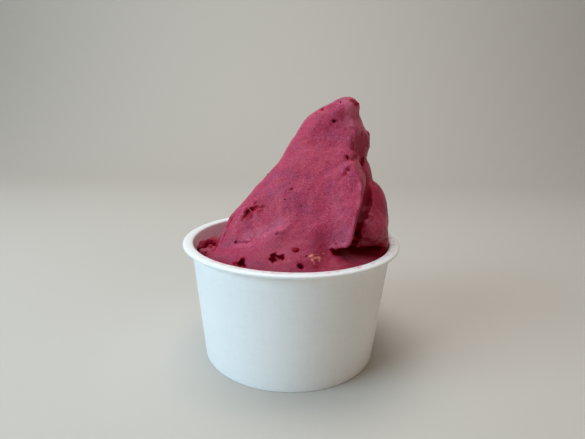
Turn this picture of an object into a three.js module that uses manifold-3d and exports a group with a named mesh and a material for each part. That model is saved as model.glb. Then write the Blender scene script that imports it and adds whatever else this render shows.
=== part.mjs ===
// A paper cup of berry gelato: a rolled-rim cup with a set-in base, filled to the rim and
// spread with a spatula into a peak that leans to the right and ends in a blunt tip.
// Millimetres, +Z up, the origin on the table under the middle of the cup, the shown side at -Y.
import * as THREE from "three";
import { mergeVertices } from "three/addons/utils/BufferGeometryUtils.js";
import Module from "manifold-3d";

// ---- Driving dimensions -------------------------------------------------------------------

const CUP = {
  height: 50,
  rimRadius: 45,
  rimWidth: 4.1, // the rolled lip, pressed flat
  rimHeight: 1.8,
  wallTop: 41.5, // outer radius of the side wall just under the lip
  wallFoot: 36.6, // outer radius where it stands
  board: 0.6, // thickness of the paperboard
};
const BASE = {
  recess: 4.9, // the base disc's underside above the table
  foldHeight: 4.2, // the wall's lower edge, folded up inside the base disc's skirt
};
const CLEARANCE = 0.3; // between pieces that touch
const SEGMENTS = 64; // round the cup
const CELL = 2.15; // grid the gelato's surface is drawn on
const FILL_TOP = 40.5; // the plain, hidden part of the filling ends here, under its surface
const OVERLAP = 1; // how far the shaped part reaches down into the plain part

const WALL_SLOPE = (CUP.wallTop - CUP.wallFoot) / (CUP.height - CUP.rimHeight);
const outerRadius = (z) => CUP.wallFoot + WALL_SLOPE * z;
const innerRadius = (z) => outerRadius(z) - CUP.board;

// ---- The paper cup ------------------------------------------------------------------------

const point = (radius, z) => new THREE.Vector2(radius, z);

// A closed outline turned round the cup's axis, which the lathe has as Y, and stood up to +Z.
// An outline that runs anticlockwise in the (radius, z) plane gives faces that point out.
const turned = (outline) => new THREE.LatheGeometry(outline, SEGMENTS).rotateX(Math.PI / 2);

function rolledRim() {
  const middle = point(CUP.rimRadius - CUP.rimWidth / 2, CUP.height - CUP.rimHeight / 2);
  const steps = 11;
  const from = -0.72 * Math.PI;
  const to = 0.94 * Math.PI;
  return Array.from({ length: steps + 1 }, (_, i) => {
    const angle = from + ((to - from) * i) / steps;
    return point(
      middle.x + (CUP.rimWidth / 2) * Math.cos(angle),
      middle.y + (CUP.rimHeight / 2) * Math.sin(angle),
    );
  });
}

function sideWall() {
  const chamfer = 0.25;
  const slotFloor = 0.75; // the fold's paper under the base disc's skirt
  const foldOuter = innerRadius(0) - CUP.board - 2 * CLEARANCE;
  const foldInner = foldOuter - CUP.board;
  return turned([
    point(foldInner, chamfer),
    point(foldInner + chamfer, 0),
    point(CUP.wallFoot - chamfer, 0),
    point(outerRadius(chamfer), chamfer),
    point(outerRadius(CUP.height / 2), CUP.height / 2),
    ...rolledRim(),
    point(innerRadius(CUP.height / 2), CUP.height / 2),
    point(innerRadius(slotFloor), slotFloor),
    point(foldOuter, slotFloor),
    point(foldOuter, BASE.foldHeight),
    point(foldInner, BASE.foldHeight),
    point(foldInner, chamfer),
  ]);
}

// The base is a disc whose skirt is turned down between the wall and the wall's fold.
function baseDisc() {
  const skirtFoot = 1.05;
  const top = BASE.recess + CUP.board;
  const bend = 0.3;
  const rim = (z) => innerRadius(z) - CLEARANCE;
  return turned([
    point(0, BASE.recess),
    point(rim(skirtFoot) - CUP.board, BASE.recess),
    point(rim(skirtFoot) - CUP.board, skirtFoot),
    point(rim(skirtFoot), skirtFoot),
    point(rim(top - bend), top - bend),
    point(rim(top) - bend, top),
    point(0, top),
  ]);
}

// ---- Distance functions the gelato is shaped with -------------------------------------------
// Each takes a place [x, y, z] and gives about how far it is outside the form, in millimetres.

const minus = (a, b) => [a[0] - b[0], a[1] - b[1], a[2] - b[2]];
const dot = (a, b) => a[0] * b[0] + a[1] * b[1] + a[2] * b[2];
const clamp = (t, low, high) => Math.min(high, Math.max(low, t));
const smoothStep = (t, low, high) => THREE.MathUtils.smoothstep(t, low, high);

// Soft joins: two forms flow together, or one is cut by the other, over a blend of that width.
function joined(a, b, blend) {
  const h = Math.max(blend - Math.abs(a - b), 0) / blend;
  return Math.min(a, b) - (h * h * blend) / 4;
}
const cutTo = (a, b, blend) => -joined(-a, -b, blend);
const without = (a, b, blend) => cutTo(a, -b, blend);

// Turns a place back by the lobe's own tilt: lean about Y, nod about X, in degrees.
function untilted([x, y, z], lean, nod) {
  const a = THREE.MathUtils.degToRad(-lean);
  const b = THREE.MathUtils.degToRad(-nod);
  const x1 = x * Math.cos(a) + z * Math.sin(a);
  const z1 = z * Math.cos(a) - x * Math.sin(a);
  return [x1, y * Math.cos(b) - z1 * Math.sin(b), y * Math.sin(b) + z1 * Math.cos(b)];
}

function lobe(p, { at, radii, lean = 0, nod = 0 }) {
  const q = untilted(minus(p, at), lean, nod);
  const near = Math.hypot(q[0] / radii[0], q[1] / radii[1], q[2] / radii[2]);
  const far = Math.hypot(q[0] / radii[0] ** 2, q[1] / radii[1] ** 2, q[2] / radii[2] ** 2);
  return (near * (near - 1)) / Math.max(far, 1e-6);
}

function stroke(p, { from, to, radii }) {
  const along = minus(to, from);
  const t = clamp(dot(minus(p, from), along) / dot(along, along), 0, 1);
  const nearest = [0, 1, 2].map((i) => from[i] + along[i] * t);
  return Math.hypot(...minus(p, nearest)) - (radii[0] + (radii[1] - radii[0]) * t);
}

// A cone with a ball at each end, squeezed from front to back.
function leaningCone(p, { foot, tip, footRadius, tipRadius, squeeze }) {
  const round = ([x, y, z]) => [x, y / squeeze, z];
  const a = round(foot);
  const axis = minus(round(tip), a);
  const length2 = dot(axis, axis);
  const taper = footRadius - tipRadius;
  const slant = length2 - taper * taper;
  const pa = minus(round(p), a);
  const up = dot(pa, axis);
  const over = up - length2;
  const aside = minus(pa.map((c) => c * length2), axis.map((c) => c * up));
  const aside2 = dot(aside, aside);
  const bound = Math.sign(taper) * taper * taper * aside2;
  if (Math.sign(over) * slant * over * over * length2 > bound) {
    return (Math.sqrt(aside2 + over * over * length2) / length2 - tipRadius) * squeeze;
  }
  if (Math.sign(up) * slant * up * up * length2 < bound) {
    return (Math.sqrt(aside2 + up * up * length2) / length2 - footRadius) * squeeze;
  }
  return ((Math.sqrt((aside2 * slant) / length2) + up * taper) / length2 - footRadius) * squeeze;
}

function flat(p, { through, facing }) {
  return dot(minus(p, through), facing) / Math.hypot(...facing);
}

// A smooth line through a few [along, place] pairs.
function outlineAt(along, pairs) {
  const last = pairs.length - 1;
  const slopeAt = (i) => {
    if (i === 0 || i === last) {
      const [a, b] = i === 0 ? [pairs[0], pairs[1]] : [pairs[last - 1], pairs[last]];
      return (b[1] - a[1]) / (b[0] - a[0]);
    }
    const [below, here, above] = [pairs[i - 1], pairs[i], pairs[i + 1]];
    const [h0, h1] = [here[0] - below[0], above[0] - here[0]];
    const [s0, s1] = [(here[1] - below[1]) / h0, (above[1] - here[1]) / h1];
    return (s0 * h1 + s1 * h0) / (h0 + h1);
  };
  const i = clamp(pairs.findIndex(([knot]) => knot >= along) - 1, 0, last - 1);
  const k = along > pairs[last][0] ? last - 1 : i;
  const h = pairs[k + 1][0] - pairs[k][0];
  const t = clamp((along - pairs[k][0]) / h, 0, 1);
  const rise = t * t * (3 - 2 * t);
  return (
    pairs[k][1] * (1 - rise) +
    pairs[k + 1][1] * rise +
    h * (t ** 3 - 2 * t * t + t) * slopeAt(k) +
    h * (t ** 3 - t * t) * slopeAt(k + 1)
  );
}

// A slow, even waviness of a given wavelength, from -1 to 1.
function waviness(p, wavelength, shift) {
  const q = p.map((c, i) => ((c + shift[i]) * 2 * Math.PI) / wavelength);
  const [s, c] = [q.map(Math.sin), q.map(Math.cos)];
  return (s[0] * c[1] + s[1] * c[2] + s[2] * c[0]) / 1.5;
}

// The hand's waviness along X, Y and Z: its height, and each one's wavelength and shift.
const BROAD_WAVES = { height: 0.6, waves: [[41, [3, 0, 0]], [37, [0, 11, 5]], [45, [7, 2, 19]]] };
const SHORT_WAVES = { height: 0.22, waves: [[17, [1, 5, 2]], [19, [9, 1, 3]], [16, [4, 8, 0]]] };

// Hand-spread food has no true planes: every place is shifted a little before it is measured.
function handMade(p) {
  const shift = ({ height, waves }, i) => height * waviness(p, ...waves[i]);
  return p.map((c, i) => c + shift(BROAD_WAVES, i) + shift(SHORT_WAVES, i));
}

// ---- The gelato's form ----------------------------------------------------------------------

// How wide two forms blend where they meet.
const CREASE = 0.9;
const CRISP = 1.4;
const SOFT = 2.5;
const ROUND = 5;
const BROAD = 8;

// Outlines seen from the front, as [height, place to the right].
const SLAB_LEFT = [
  [40, -32], [50, -29.5], [58, -25.6], [66, -19.2], [74, -12.6],
  [82, -6.4], [92, 1.4], [99, 6.3], [104, 9.4], [110, 13.8],
];
const UPPER_EDGE = [
  [72, 18], [81.2, 19.2], [85, 20.7], [88.7, 21.3], [95.5, 20.8], [99, 19.4], [103, 19.2], [108, 18],
];
const FLAP_EDGE = [
  [48, 20.5], [55, 22.6], [60.5, 23.9], [66, 25.2], [71.9, 26.5], [79.5, 25.7], [84, 22], [88, 17],
];

// The steep front face: a place on it, and how it slopes back as it rises and as it goes right.
const FACE = { at: [18, -27, 54], back: 0.45, aside: -0.2 };
const SWELLINGS = [
  { x: 2, z: 72, wide: 17, high: 16, proud: 2.4 },
  { x: 15, z: 92, wide: 8, high: 8, proud: -1.2 },
];
// The lip across its lower left, as [place to the right, height], and how it fades below.
const LIP = {
  line: [[-26, 52], [-20.5, 52.8], [-13, 54.2], [-9.5, 56], [-6, 58.4], [-1, 61.2], [6, 64]],
  proud: 2.1,
  fade: 7,
  starts: [-22, -19.5],
  ends: [-5, 1],
};

const CORE = { foot: [8.5, 2, 42], tip: [20, 2, 95.5], footRadius: 30.5, tipRadius: 6.5, squeeze: 0.9 };
const BACK_PLANES = [
  { through: [-4, 20, 62], facing: [-0.5, 0.66, 0.56] },
  { through: [20, 22, 62], facing: [0.22, 0.8, 0.5] },
];
const CAP = { at: [23.3, 1, 93.2], radii: [5.1, 9, 12], lean: -13.5 };
const TIP = { at: [19.8, -2, 103.4], radii: [5.3, 5.6, 4.5], lean: -14 };
const SHOULDER = { at: [25.7, 5, 89.8], radii: [6.2, 8.5, 6.6], lean: 8 };
const SHOULDER_TOP = { through: [31, 5, 91.7], facing: [0.79, -0.1, 0.61] };
const SHOULDER_BLEND = [4, 12]; // from front to back, where its join grows broader

// The layers over the back: how thick, where each ends towards the front, and its upper edge.
const TALL_STROKE = { thickness: 2.6, front: 8, top: 86, topRise: 0.3 };
const TALL_STROKE_SIDE = { x: -6, z: 60, slope: 0.55, bend: 0.004, steepness: 0.85 };
const LOW_STROKE = { thickness: 2.2, front: -4 };
const LOW_STROKE_TOP = { through: [-8, 16, 57], facing: [0.5, 0.1, 0.86] };

const NECK = { at: [25.8, 4, 76.5], radii: [6.2, 10, 10.2], lean: -8 };
const SIDE_LOBE = { at: [28, 2, 58.6], radii: [12.8, 17.5, 20.4], lean: -11 };
const SIDE_TOP = { through: [35.2, 0, 74], facing: [0.3, -0.12, 0.94] };
const SIDE_BACK = { through: [30, 16, 62], facing: [0.35, 0.85, 0.4] };
const BULGE = { at: [29.4, -7.5, 56.5], radii: [9.4, 12.4, 7.4], lean: 4, nod: -8 };
const SKIRT = { at: [35.6, -4.5, 50.5], radii: [5.6, 9.5, 4.6], lean: 8 };
const VALLEY = [
  { from: [28.9, -7.6, 76.5], to: [28.3, -12.2, 67.3], radii: [1.9, 2.3] },
  { from: [28.3, -12.2, 67.3], to: [27.4, -15, 63.4], radii: [2.3, 2.2] },
  { from: [27.4, -15, 63.4], to: [24.6, -18.2, 59.8], radii: [2.2, 1.2] },
  { from: [24.6, -18.4, 59.8], to: [24.3, -19.6, 57.2], radii: [1, 1.2] },
];

// The swept slab and its flap. Their edges lean: steepness to the side, and turn towards the front.
const SLAB = { thickness: 9, leftSteepness: 0.8, leftTurn: 0.06, leftFrom: -14 };
const SLAB_TOP = { through: [9.5, 0, 105], facing: [-0.24, 0, 0.97] };
const FLAP = { thickness: 8.5, proud: 2.6, proudFrom: 11, proudTo: 23, narrower: 1 };
const FLAP_TOP = { through: [21, -20, 83.5], facing: [-0.5, 0, 0.86] };
const FLAP_TAPER = { x: 2, z: 70, slope: 0.5 };
const FLAP_FOOT = { x: 14, z: 53.4, rise: 0.38 };
const EDGE = { steepness: 0.9, turn: 0.2, upperFrom: -18, flapFrom: -20 };

// The filling, which blends broadly into the face only in the middle.
const FRONT_FILL = { at: [-6, -16.8, 44], radii: [30, 20.5, 12.2], lean: -9, nod: 6 };
const FRONT_BLEND = { from: [-12, 2], to: [7, 14] };
const RIGHT_FILL = { at: [17, -13, 40], radii: [24, 25, 10.8] };
const HOLLOWS = [
  { at: [21.6, -25, 53.4], radii: [7, 10.5, 1.9], lean: -11 },
  { at: [28, -19.5, 50.7], radii: [13.5, 10, 1.5], lean: 7 },
];
const LEVEL = { height: 44.5, frontRise: 2, rightRise: 1, reach: 30 };

const LUMPS_AT_WALL = [
  { at: [-33, -12, 45.5], radii: [4, 4, 3.5] },
  { at: [-35.5, -4, 45], radii: [3.5, 4, 3.5] },
  { at: [-31, -1, 46], radii: [3.5, 3, 3] },
  { at: [-36.2, -8.2, 46.6], radii: [2.4, 2.6, 2.1] },
  { at: [-33.8, -4.6, 47.6], radii: [2.5, 2.3, 2.3] },
  { at: [-31, -9, 47.6], radii: [2.2, 2.4, 2] },
];
const LEFT_FOLD = { from: [-22.8, -5, 59.5], to: [-29.8, -8.5, 47.5], radii: [1.2, 2.2] };
const FOLD_CREASE = { from: [-23.8, -12.6, 60.4], to: [-28.4, -11, 50.6], radii: [0.9, 1.4] };
const TEARS = [
  { from: [-18.7, -16.2, 61], to: [-15.2, -15.2, 65.6], radii: [0.8, 1.5] },
  { from: [-14.2, -15.8, 65.9], to: [-9.8, -16.6, 66.9], radii: [1.1, 0.8] },
];
const RIM_HOLE = { from: [-17.2, -30.6, 50.2], to: [-18.4, -29.8, 49], radii: [1.1, 1.3] };

// The steep front face that the spatula left, with its swellings and its short rising lip.
function sweptFace([x, y, z]) {
  let face = FACE.at[1] + FACE.back * (z - FACE.at[2]) + FACE.aside * (x - FACE.at[0]);
  for (const { x: middle, z: height, wide, high, proud } of SWELLINGS) {
    face -= proud * Math.exp(-(((x - middle) / wide) ** 2) - ((z - height) / high) ** 2);
  }
  const below = outlineAt(x, LIP.line) - z;
  const rise = smoothStep(below, -0.5, 0.7) * Math.exp(-((Math.max(below, 0) / LIP.fade) ** 2));
  face -= LIP.proud * rise * smoothStep(x, ...LIP.starts) * (1 - smoothStep(x, ...LIP.ends));
  return (face - y) / Math.hypot(1, FACE.back, FACE.aside);
}

const layered = (face, thickness) => cutTo(face, -face - thickness, SOFT);

// The cone in the middle, flattened by two broad strokes at the back, with the turned cap.
function middle(p) {
  let form = leaningCone(p, CORE);
  for (const plane of BACK_PLANES) form = cutTo(form, flat(p, plane), ROUND);
  form = joined(form, lobe(p, CAP), SOFT);
  form = joined(form, lobe(p, TIP), SOFT);
  const shoulder = cutTo(lobe(p, SHOULDER), flat(p, SHOULDER_TOP), SOFT);
  return joined(form, shoulder, SOFT + ROUND * smoothStep(p[1], ...SHOULDER_BLEND));
}

// Two layers that the spatula laid over the back, each with a crisp end.
function backStrokes(p, core) {
  const [x, y, z] = p;
  const up = z - TALL_STROKE_SIDE.z;
  const side = TALL_STROKE_SIDE.x + TALL_STROKE_SIDE.slope * up + TALL_STROKE_SIDE.bend * up * up;
  let tall = cutTo(core - TALL_STROKE.thickness, (side - x) * TALL_STROKE_SIDE.steepness, CRISP);
  tall = cutTo(tall, TALL_STROKE.front - y, ROUND);
  tall = cutTo(tall, z - TALL_STROKE.top - TALL_STROKE.topRise * x, SOFT);
  let low = cutTo(core - LOW_STROKE.thickness, flat(p, LOW_STROKE_TOP), CRISP);
  low = cutTo(low, LOW_STROKE.front - y, ROUND);
  return joined(joined(core, tall, CREASE), low, CREASE);
}

// The round lobe on the right with its neck, and the valley between it and the front.
function rightLobe(p, form) {
  let side = cutTo(lobe(p, SIDE_LOBE), flat(p, SIDE_BACK), SOFT);
  side = cutTo(side, flat(p, SIDE_TOP), CRISP);
  side = joined(joined(side, lobe(p, BULGE), SOFT), lobe(p, SKIRT), SOFT);
  let both = joined(joined(form, lobe(p, NECK), CRISP), side, CREASE);
  for (const groove of VALLEY) both = without(both, stroke(p, groove), CRISP);
  return both;
}

// The swept slab: its upper part, and the flap that stands proud of it and ends over a hollow.
function frontSlab(p, form) {
  const [x, y, z] = p;
  const face = sweptFace(p);
  const left = (outlineAt(z, SLAB_LEFT) - x) * SLAB.leftSteepness - SLAB.leftTurn * (y - SLAB.leftFrom);
  const beyond = (outline, from) =>
    (x - outlineAt(z, outline)) * EDGE.steepness - EDGE.turn * (y - from);
  let upper = cutTo(layered(face, SLAB.thickness), left, ROUND);
  upper = cutTo(upper, flat(p, SLAB_TOP), ROUND);
  upper = cutTo(upper, beyond(UPPER_EDGE, EDGE.upperFrom), CRISP);
  const proud = FLAP.proud * smoothStep(x, FLAP.proudFrom, FLAP.proudTo);
  let flap = cutTo(layered(face - proud, FLAP.thickness), left + FLAP.narrower, ROUND);
  flap = cutTo(flap, FLAP_TAPER.x - x - FLAP_TAPER.slope * (FLAP_TAPER.z - z), BROAD);
  flap = cutTo(flap, beyond(FLAP_EDGE, EDGE.flapFrom), CREASE);
  flap = cutTo(flap, flat(p, FLAP_TOP), CRISP);
  flap = cutTo(flap, FLAP_FOOT.z - z + FLAP_FOOT.rise * (x - FLAP_FOOT.x), CREASE);
  return joined(joined(form, upper, CRISP), flap, CREASE);
}

// What fills the cup to the rim at the front and right, and lies lower at the back and left.
function filling(p, form) {
  const [x, y, z] = p;
  const middle = smoothStep(x, ...FRONT_BLEND.from) * (1 - smoothStep(x, ...FRONT_BLEND.to));
  let full = joined(form, lobe(p, FRONT_FILL), CRISP + BROAD * middle);
  full = joined(full, lobe(p, RIGHT_FILL), SOFT);
  for (const hollow of HOLLOWS) full = without(full, lobe(p, hollow), CREASE);
  const forward = clamp(-y / LEVEL.reach, -1, 1);
  const aside = clamp(x / LEVEL.reach, -1, 1);
  const level = LEVEL.height + LEVEL.frontRise * forward + LEVEL.rightRise * aside;
  return joined(full, z - level, ROUND);
}

function gelatoForm(place) {
  const p = handMade(place);
  let form = rightLobe(p, backStrokes(p, middle(p)));
  form = joined(form, stroke(p, LEFT_FOLD), CREASE);
  form = filling(p, frontSlab(p, form));
  for (const lump of LUMPS_AT_WALL) form = joined(form, lobe(p, lump), CREASE);
  for (const cut of [...TEARS, FOLD_CREASE, RIM_HOLE]) form = without(form, stroke(place, cut), CREASE);
  const [x, y, z] = place;
  const wall = (Math.hypot(x, y) - innerRadius(z) + 2 * CLEARANCE) / Math.hypot(1, WALL_SLOPE);
  form = cutTo(form, wall, CRISP);
  return Math.max(form, FILL_TOP - OVERLAP - z);
}

// ---- Drawing a form's surface as one closed mesh ----------------------------------------------

const CORNERS = Array.from({ length: 8 }, (_, i) => [i & 1, (i >> 1) & 1, (i >> 2) & 1]);
const EDGES = CORNERS.flatMap((_, a) => [1, 2, 4].filter((bit) => !(a & bit)).map((bit) => [a, a | bit]));
const CELL_FACES = [0, 1, 2].flatMap((axis) =>
  [0, 1].map((side) => CORNERS.flatMap((corner, n) => (corner[axis] === side ? [n] : []))));

// A cell is simple when its inside corners hang together along its edges, its outside ones do
// too, and none of its faces has inside and outside corners like a draughtboard.
function isSimple(mask) {
  const inside = (corner) => (mask >> corner) & 1;
  const draughtboard = CELL_FACES.some(([a, b, c, d]) =>
    inside(a) === inside(d) && inside(b) === inside(c) && inside(a) !== inside(b));
  const together = [mask, ~mask & 255].every((side) => {
    let reached = side & -side;
    for (let pass = 0; pass < 8; pass++) {
      for (const [a, b] of EDGES) {
        const both = (1 << a) | (1 << b);
        if ((side & both) === both && reached & both) reached |= both;
      }
    }
    return reached === side;
  });
  return together && !draughtboard;
}
const SIMPLE = Array.from({ length: 256 }, (_, mask) => isSimple(mask));

// The form's distances on an even grid, with corners nudged until every cell is simple, so that
// one point for each cell gives a surface without pinches.
function sampled(form, low, high, cell) {
  const size = low.map((l, i) => Math.ceil((high[i] - l) / cell) + 1);
  const index = (i, j, k) => i + size[0] * (j + size[1] * k);
  const place = (i, j, k) => [low[0] + i * cell, low[1] + j * cell, low[2] + k * cell];
  const values = new Float64Array(size[0] * size[1] * size[2]);
  const cells = [];
  for (let k = 0; k < size[2]; k++) {
    for (let j = 0; j < size[1]; j++) {
      for (let i = 0; i < size[0]; i++) {
        values[index(i, j, k)] = form(place(i, j, k));
        if (i < size[0] - 1 && j < size[1] - 1 && k < size[2] - 1) cells.push([i, j, k]);
      }
    }
  }
  const cornersOf = ([i, j, k]) => CORNERS.map(([a, b, c]) => index(i + a, j + b, k + c));
  const maskOf = (corners) => corners.reduce((mask, c, n) => mask | (values[c] < 0 ? 1 << n : 0), 0);
  const step = 0.02 * cell;
  let tangled = cells;
  for (let nudge = step; tangled.length; nudge += step) {
    tangled = cells.filter((at) => !SIMPLE[maskOf(cornersOf(at))]);
    for (const at of tangled) {
      const weakest = cornersOf(at).reduce((a, b) => (Math.abs(values[b]) < Math.abs(values[a]) ? b : a));
      values[weakest] = values[weakest] < 0 ? nudge : -nudge;
    }
  }
  return { index, place, values, cells, cornersOf, maskOf };
}

function surfaceOf(form, low, high, cell) {
  const grid = sampled(form, low, high, cell);
  const pointOf = new Map();
  const positions = [];
  for (const at of grid.cells) {
    const corners = grid.cornersOf(at);
    const mask = grid.maskOf(corners);
    if (mask === 0 || mask === 255) continue;
    const crossings = EDGES.filter(([a, b]) => ((mask >> a) ^ (mask >> b)) & 1).map(([a, b]) => {
      const [va, vb] = [grid.values[corners[a]], grid.values[corners[b]]];
      const t = va / (va - vb);
      return CORNERS[a].map((c, n) => c + (CORNERS[b][n] - c) * t);
    });
    const mean = [0, 1, 2].map((n) => crossings.reduce((sum, c) => sum + c[n], 0) / crossings.length);
    const corner = grid.place(...at);
    pointOf.set(grid.index(...at), positions.length / 3);
    positions.push(...corner.map((c, n) => c + mean[n] * cell));
  }
  const faces = [];
  for (const at of grid.cells) {
    const here = grid.values[grid.index(...at)] < 0;
    for (let axis = 0; axis < 3; axis++) {
      const ahead = at.map((c, n) => c + (n === axis ? 1 : 0));
      if (grid.values[grid.index(...ahead)] < 0 === here) continue;
      const [u, v] = [(axis + 1) % 3, (axis + 2) % 3];
      const around = [[0, 0], [-1, 0], [-1, -1], [0, -1]].map(([du, dv]) => {
        const n = [...at];
        n[u] += du;
        n[v] += dv;
        return pointOf.get(grid.index(...n));
      });
      const [a, b, c, d] = here ? around : around.reverse();
      faces.push(a, b, c, a, c, d);
    }
  }
  const geometry = new THREE.BufferGeometry();
  geometry.setAttribute("position", new THREE.Float32BufferAttribute(positions, 3));
  geometry.setIndex(faces);
  return geometry;
}

// ---- Joining solids -----------------------------------------------------------------------------

const wasm = await Module();
wasm.setup();

function solid(geometry) {
  const bare = geometry.clone();
  bare.deleteAttribute("normal");
  bare.deleteAttribute("uv");
  const whole = mergeVertices(bare, 1e-4);
  return new wasm.Manifold(new wasm.Mesh({
    numProp: 3,
    vertProperties: new Float32Array(whole.attributes.position.array),
    triVerts: new Uint32Array(whole.index.array),
  }));
}

function geometryOf(manifold) {
  const { vertProperties, triVerts } = manifold.getMesh();
  const geometry = new THREE.BufferGeometry();
  geometry.setAttribute("position", new THREE.BufferAttribute(vertProperties, 3));
  geometry.setIndex(new THREE.BufferAttribute(triVerts, 1));
  return geometry;
}

// The hidden part of the filling, down to the base disc.
function fillingBelow() {
  const bottom = BASE.recess + CUP.board + CLEARANCE;
  const bevel = 1;
  const reach = (z) => innerRadius(z) - 1.2 * CLEARANCE;
  return turned([
    point(0, bottom),
    point(reach(bottom) - bevel, bottom),
    point(reach(bottom + bevel), bottom + bevel),
    point(reach(FILL_TOP), FILL_TOP),
    point(0, FILL_TOP),
  ]);
}

function gelato() {
  const low = [-43, -42, FILL_TOP - 1.6 * OVERLAP];
  const high = [45, 42, 111];
  const above = solid(surfaceOf(gelatoForm, low, high, CELL));
  return geometryOf(solid(fillingBelow()).add(above));
}

// ---- The pieces ---------------------------------------------------------------------------------

function piece(name, geometry, color, roughness) {
  const mesh = new THREE.Mesh(geometry, new THREE.MeshStandardMaterial({ color, roughness, metalness: 0 }));
  mesh.name = name;
  return mesh;
}

const cup = new THREE.Group();
cup.add(
  piece("cup_wall", sideWall(), 0xf2f4f5, 0.6),
  piece("cup_base", baseDisc(), 0xeef0f1, 0.7),
);

const whole = new THREE.Group();
whole.add(cup, piece("gelato", gelato(), 0xa8406a, 0.5));

export default whole;
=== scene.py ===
"""A paper cup of berry gelato, dressed for its picture.

The cup's side wall and the gelato are made anew, finer, over their plain solids: the wall with its
rolled rim and lapped seam, the gelato with its grain, tears, pits and bits of fruit. The base disc
keeps its solid. Shapes are worked out in millimetres and stored in metres, in the model's frame.
"""

import logging
import math
from dataclasses import dataclass, field
from enum import Enum
from typing import Callable, Iterable, Optional, Sequence

import bpy
import numpy as np
from mathutils import Matrix, Vector
from mathutils.bvhtree import BVHTree


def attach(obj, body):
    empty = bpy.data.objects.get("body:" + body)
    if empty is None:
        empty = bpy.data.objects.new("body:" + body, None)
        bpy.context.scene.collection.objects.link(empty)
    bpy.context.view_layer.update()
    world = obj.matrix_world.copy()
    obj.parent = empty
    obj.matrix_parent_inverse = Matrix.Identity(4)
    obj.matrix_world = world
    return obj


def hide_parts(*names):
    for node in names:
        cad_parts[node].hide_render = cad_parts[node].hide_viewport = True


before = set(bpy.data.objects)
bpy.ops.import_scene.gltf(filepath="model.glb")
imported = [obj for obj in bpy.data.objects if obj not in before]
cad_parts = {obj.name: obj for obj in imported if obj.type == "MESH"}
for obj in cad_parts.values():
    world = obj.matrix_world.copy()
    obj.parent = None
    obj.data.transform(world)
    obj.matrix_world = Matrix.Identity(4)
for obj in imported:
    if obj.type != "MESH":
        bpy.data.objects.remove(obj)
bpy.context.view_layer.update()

MM = 0.001
BODY = "root"
Triple = tuple[float, float, float]
Colour = tuple[float, float, float, float]
Points = np.ndarray
Field = np.ndarray

logging.basicConfig(level=logging.INFO, format="%(name)s: %(message)s")
log = logging.getLogger("gelato_cup")


# ---- Working with distances -----------------------------------------------------------------


def joined(a: Field, b: Field, blend: float | Field) -> Field:
    """Let two forms flow together.

    Args:
        a: Distance outside the first form, in millimetres.
        b: Distance outside the second form.
        blend: Width over which they merge.

    Returns:
        The distance outside both together.
    """
    overlap = np.maximum(blend - np.abs(a - b), 0.0) / blend
    return np.minimum(a, b) - overlap * overlap * blend / 4


def cut_to(a: Field, b: Field, blend: float) -> Field:
    """Keep of one form only what lies in the other.

    Args:
        a: Distance outside the form.
        b: Distance outside the form that bounds it.
        blend: Width of the rounded edge between them.

    Returns:
        The distance outside what is kept.
    """
    return -joined(-a, -b, blend)


def eased(t: Field, nothing: float, full: float) -> Field:
    """Go smoothly from 0 at one value to 1 at another, which may be the lower one.

    Args:
        t: Values to map.
        nothing: Where the share is 0.
        full: Where it is 1.

    Returns:
        Values from 0 to 1.
    """
    u = np.clip((t - nothing) / (full - nothing), 0.0, 1.0)
    return u * u * (3 - 2 * u)


@dataclass(frozen=True)
class Lobe:
    """A rounded mass, leaned about Y and nodded about X, in degrees."""

    at: Triple
    radii: Triple
    lean: float = 0.0
    nod: float = 0.0

    def distance(self, p: Points) -> Field:
        """Work out about how far each place is outside the lobe.

        Args:
            p: Places in millimetres.

        Returns:
            The distances, in millimetres.
        """
        x, y, z = (p - self.at).T
        a, b = math.radians(-self.lean), math.radians(-self.nod)
        x, z = x * math.cos(a) + z * math.sin(a), z * math.cos(a) - x * math.sin(a)
        y, z = y * math.cos(b) - z * math.sin(b), y * math.sin(b) + z * math.cos(b)
        rx, ry, rz = self.radii
        near = np.sqrt((x / rx) ** 2 + (y / ry) ** 2 + (z / rz) ** 2)
        far = np.sqrt((x / rx**2) ** 2 + (y / ry**2) ** 2 + (z / rz**2) ** 2)
        return near * (near - 1) / np.maximum(far, 1e-6)


@dataclass(frozen=True)
class Stroke:
    """A rounded bar or groove between two places, with a radius at each end."""

    start: Triple
    end: Triple
    radii: tuple[float, float]

    def distance(self, p: Points) -> Field:
        """Work out how far each place is outside the stroke.

        Args:
            p: Places in millimetres.

        Returns:
            The distances, in millimetres.
        """
        along = np.subtract(self.end, self.start)
        t = np.clip((p - self.start) @ along / (along @ along), 0.0, 1.0)
        nearest = np.asarray(self.start) + t[:, None] * along
        radius = self.radii[0] + (self.radii[1] - self.radii[0]) * t
        return np.linalg.norm(p - nearest, axis=1) - radius


@dataclass(frozen=True)
class Plane:
    """A flat cut through a place, facing outwards."""

    through: Triple
    facing: Triple

    def distance(self, p: Points) -> Field:
        """Return how far each place is beyond the plane."""
        facing = np.asarray(self.facing) / np.linalg.norm(self.facing)
        return (p - self.through) @ facing


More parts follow.
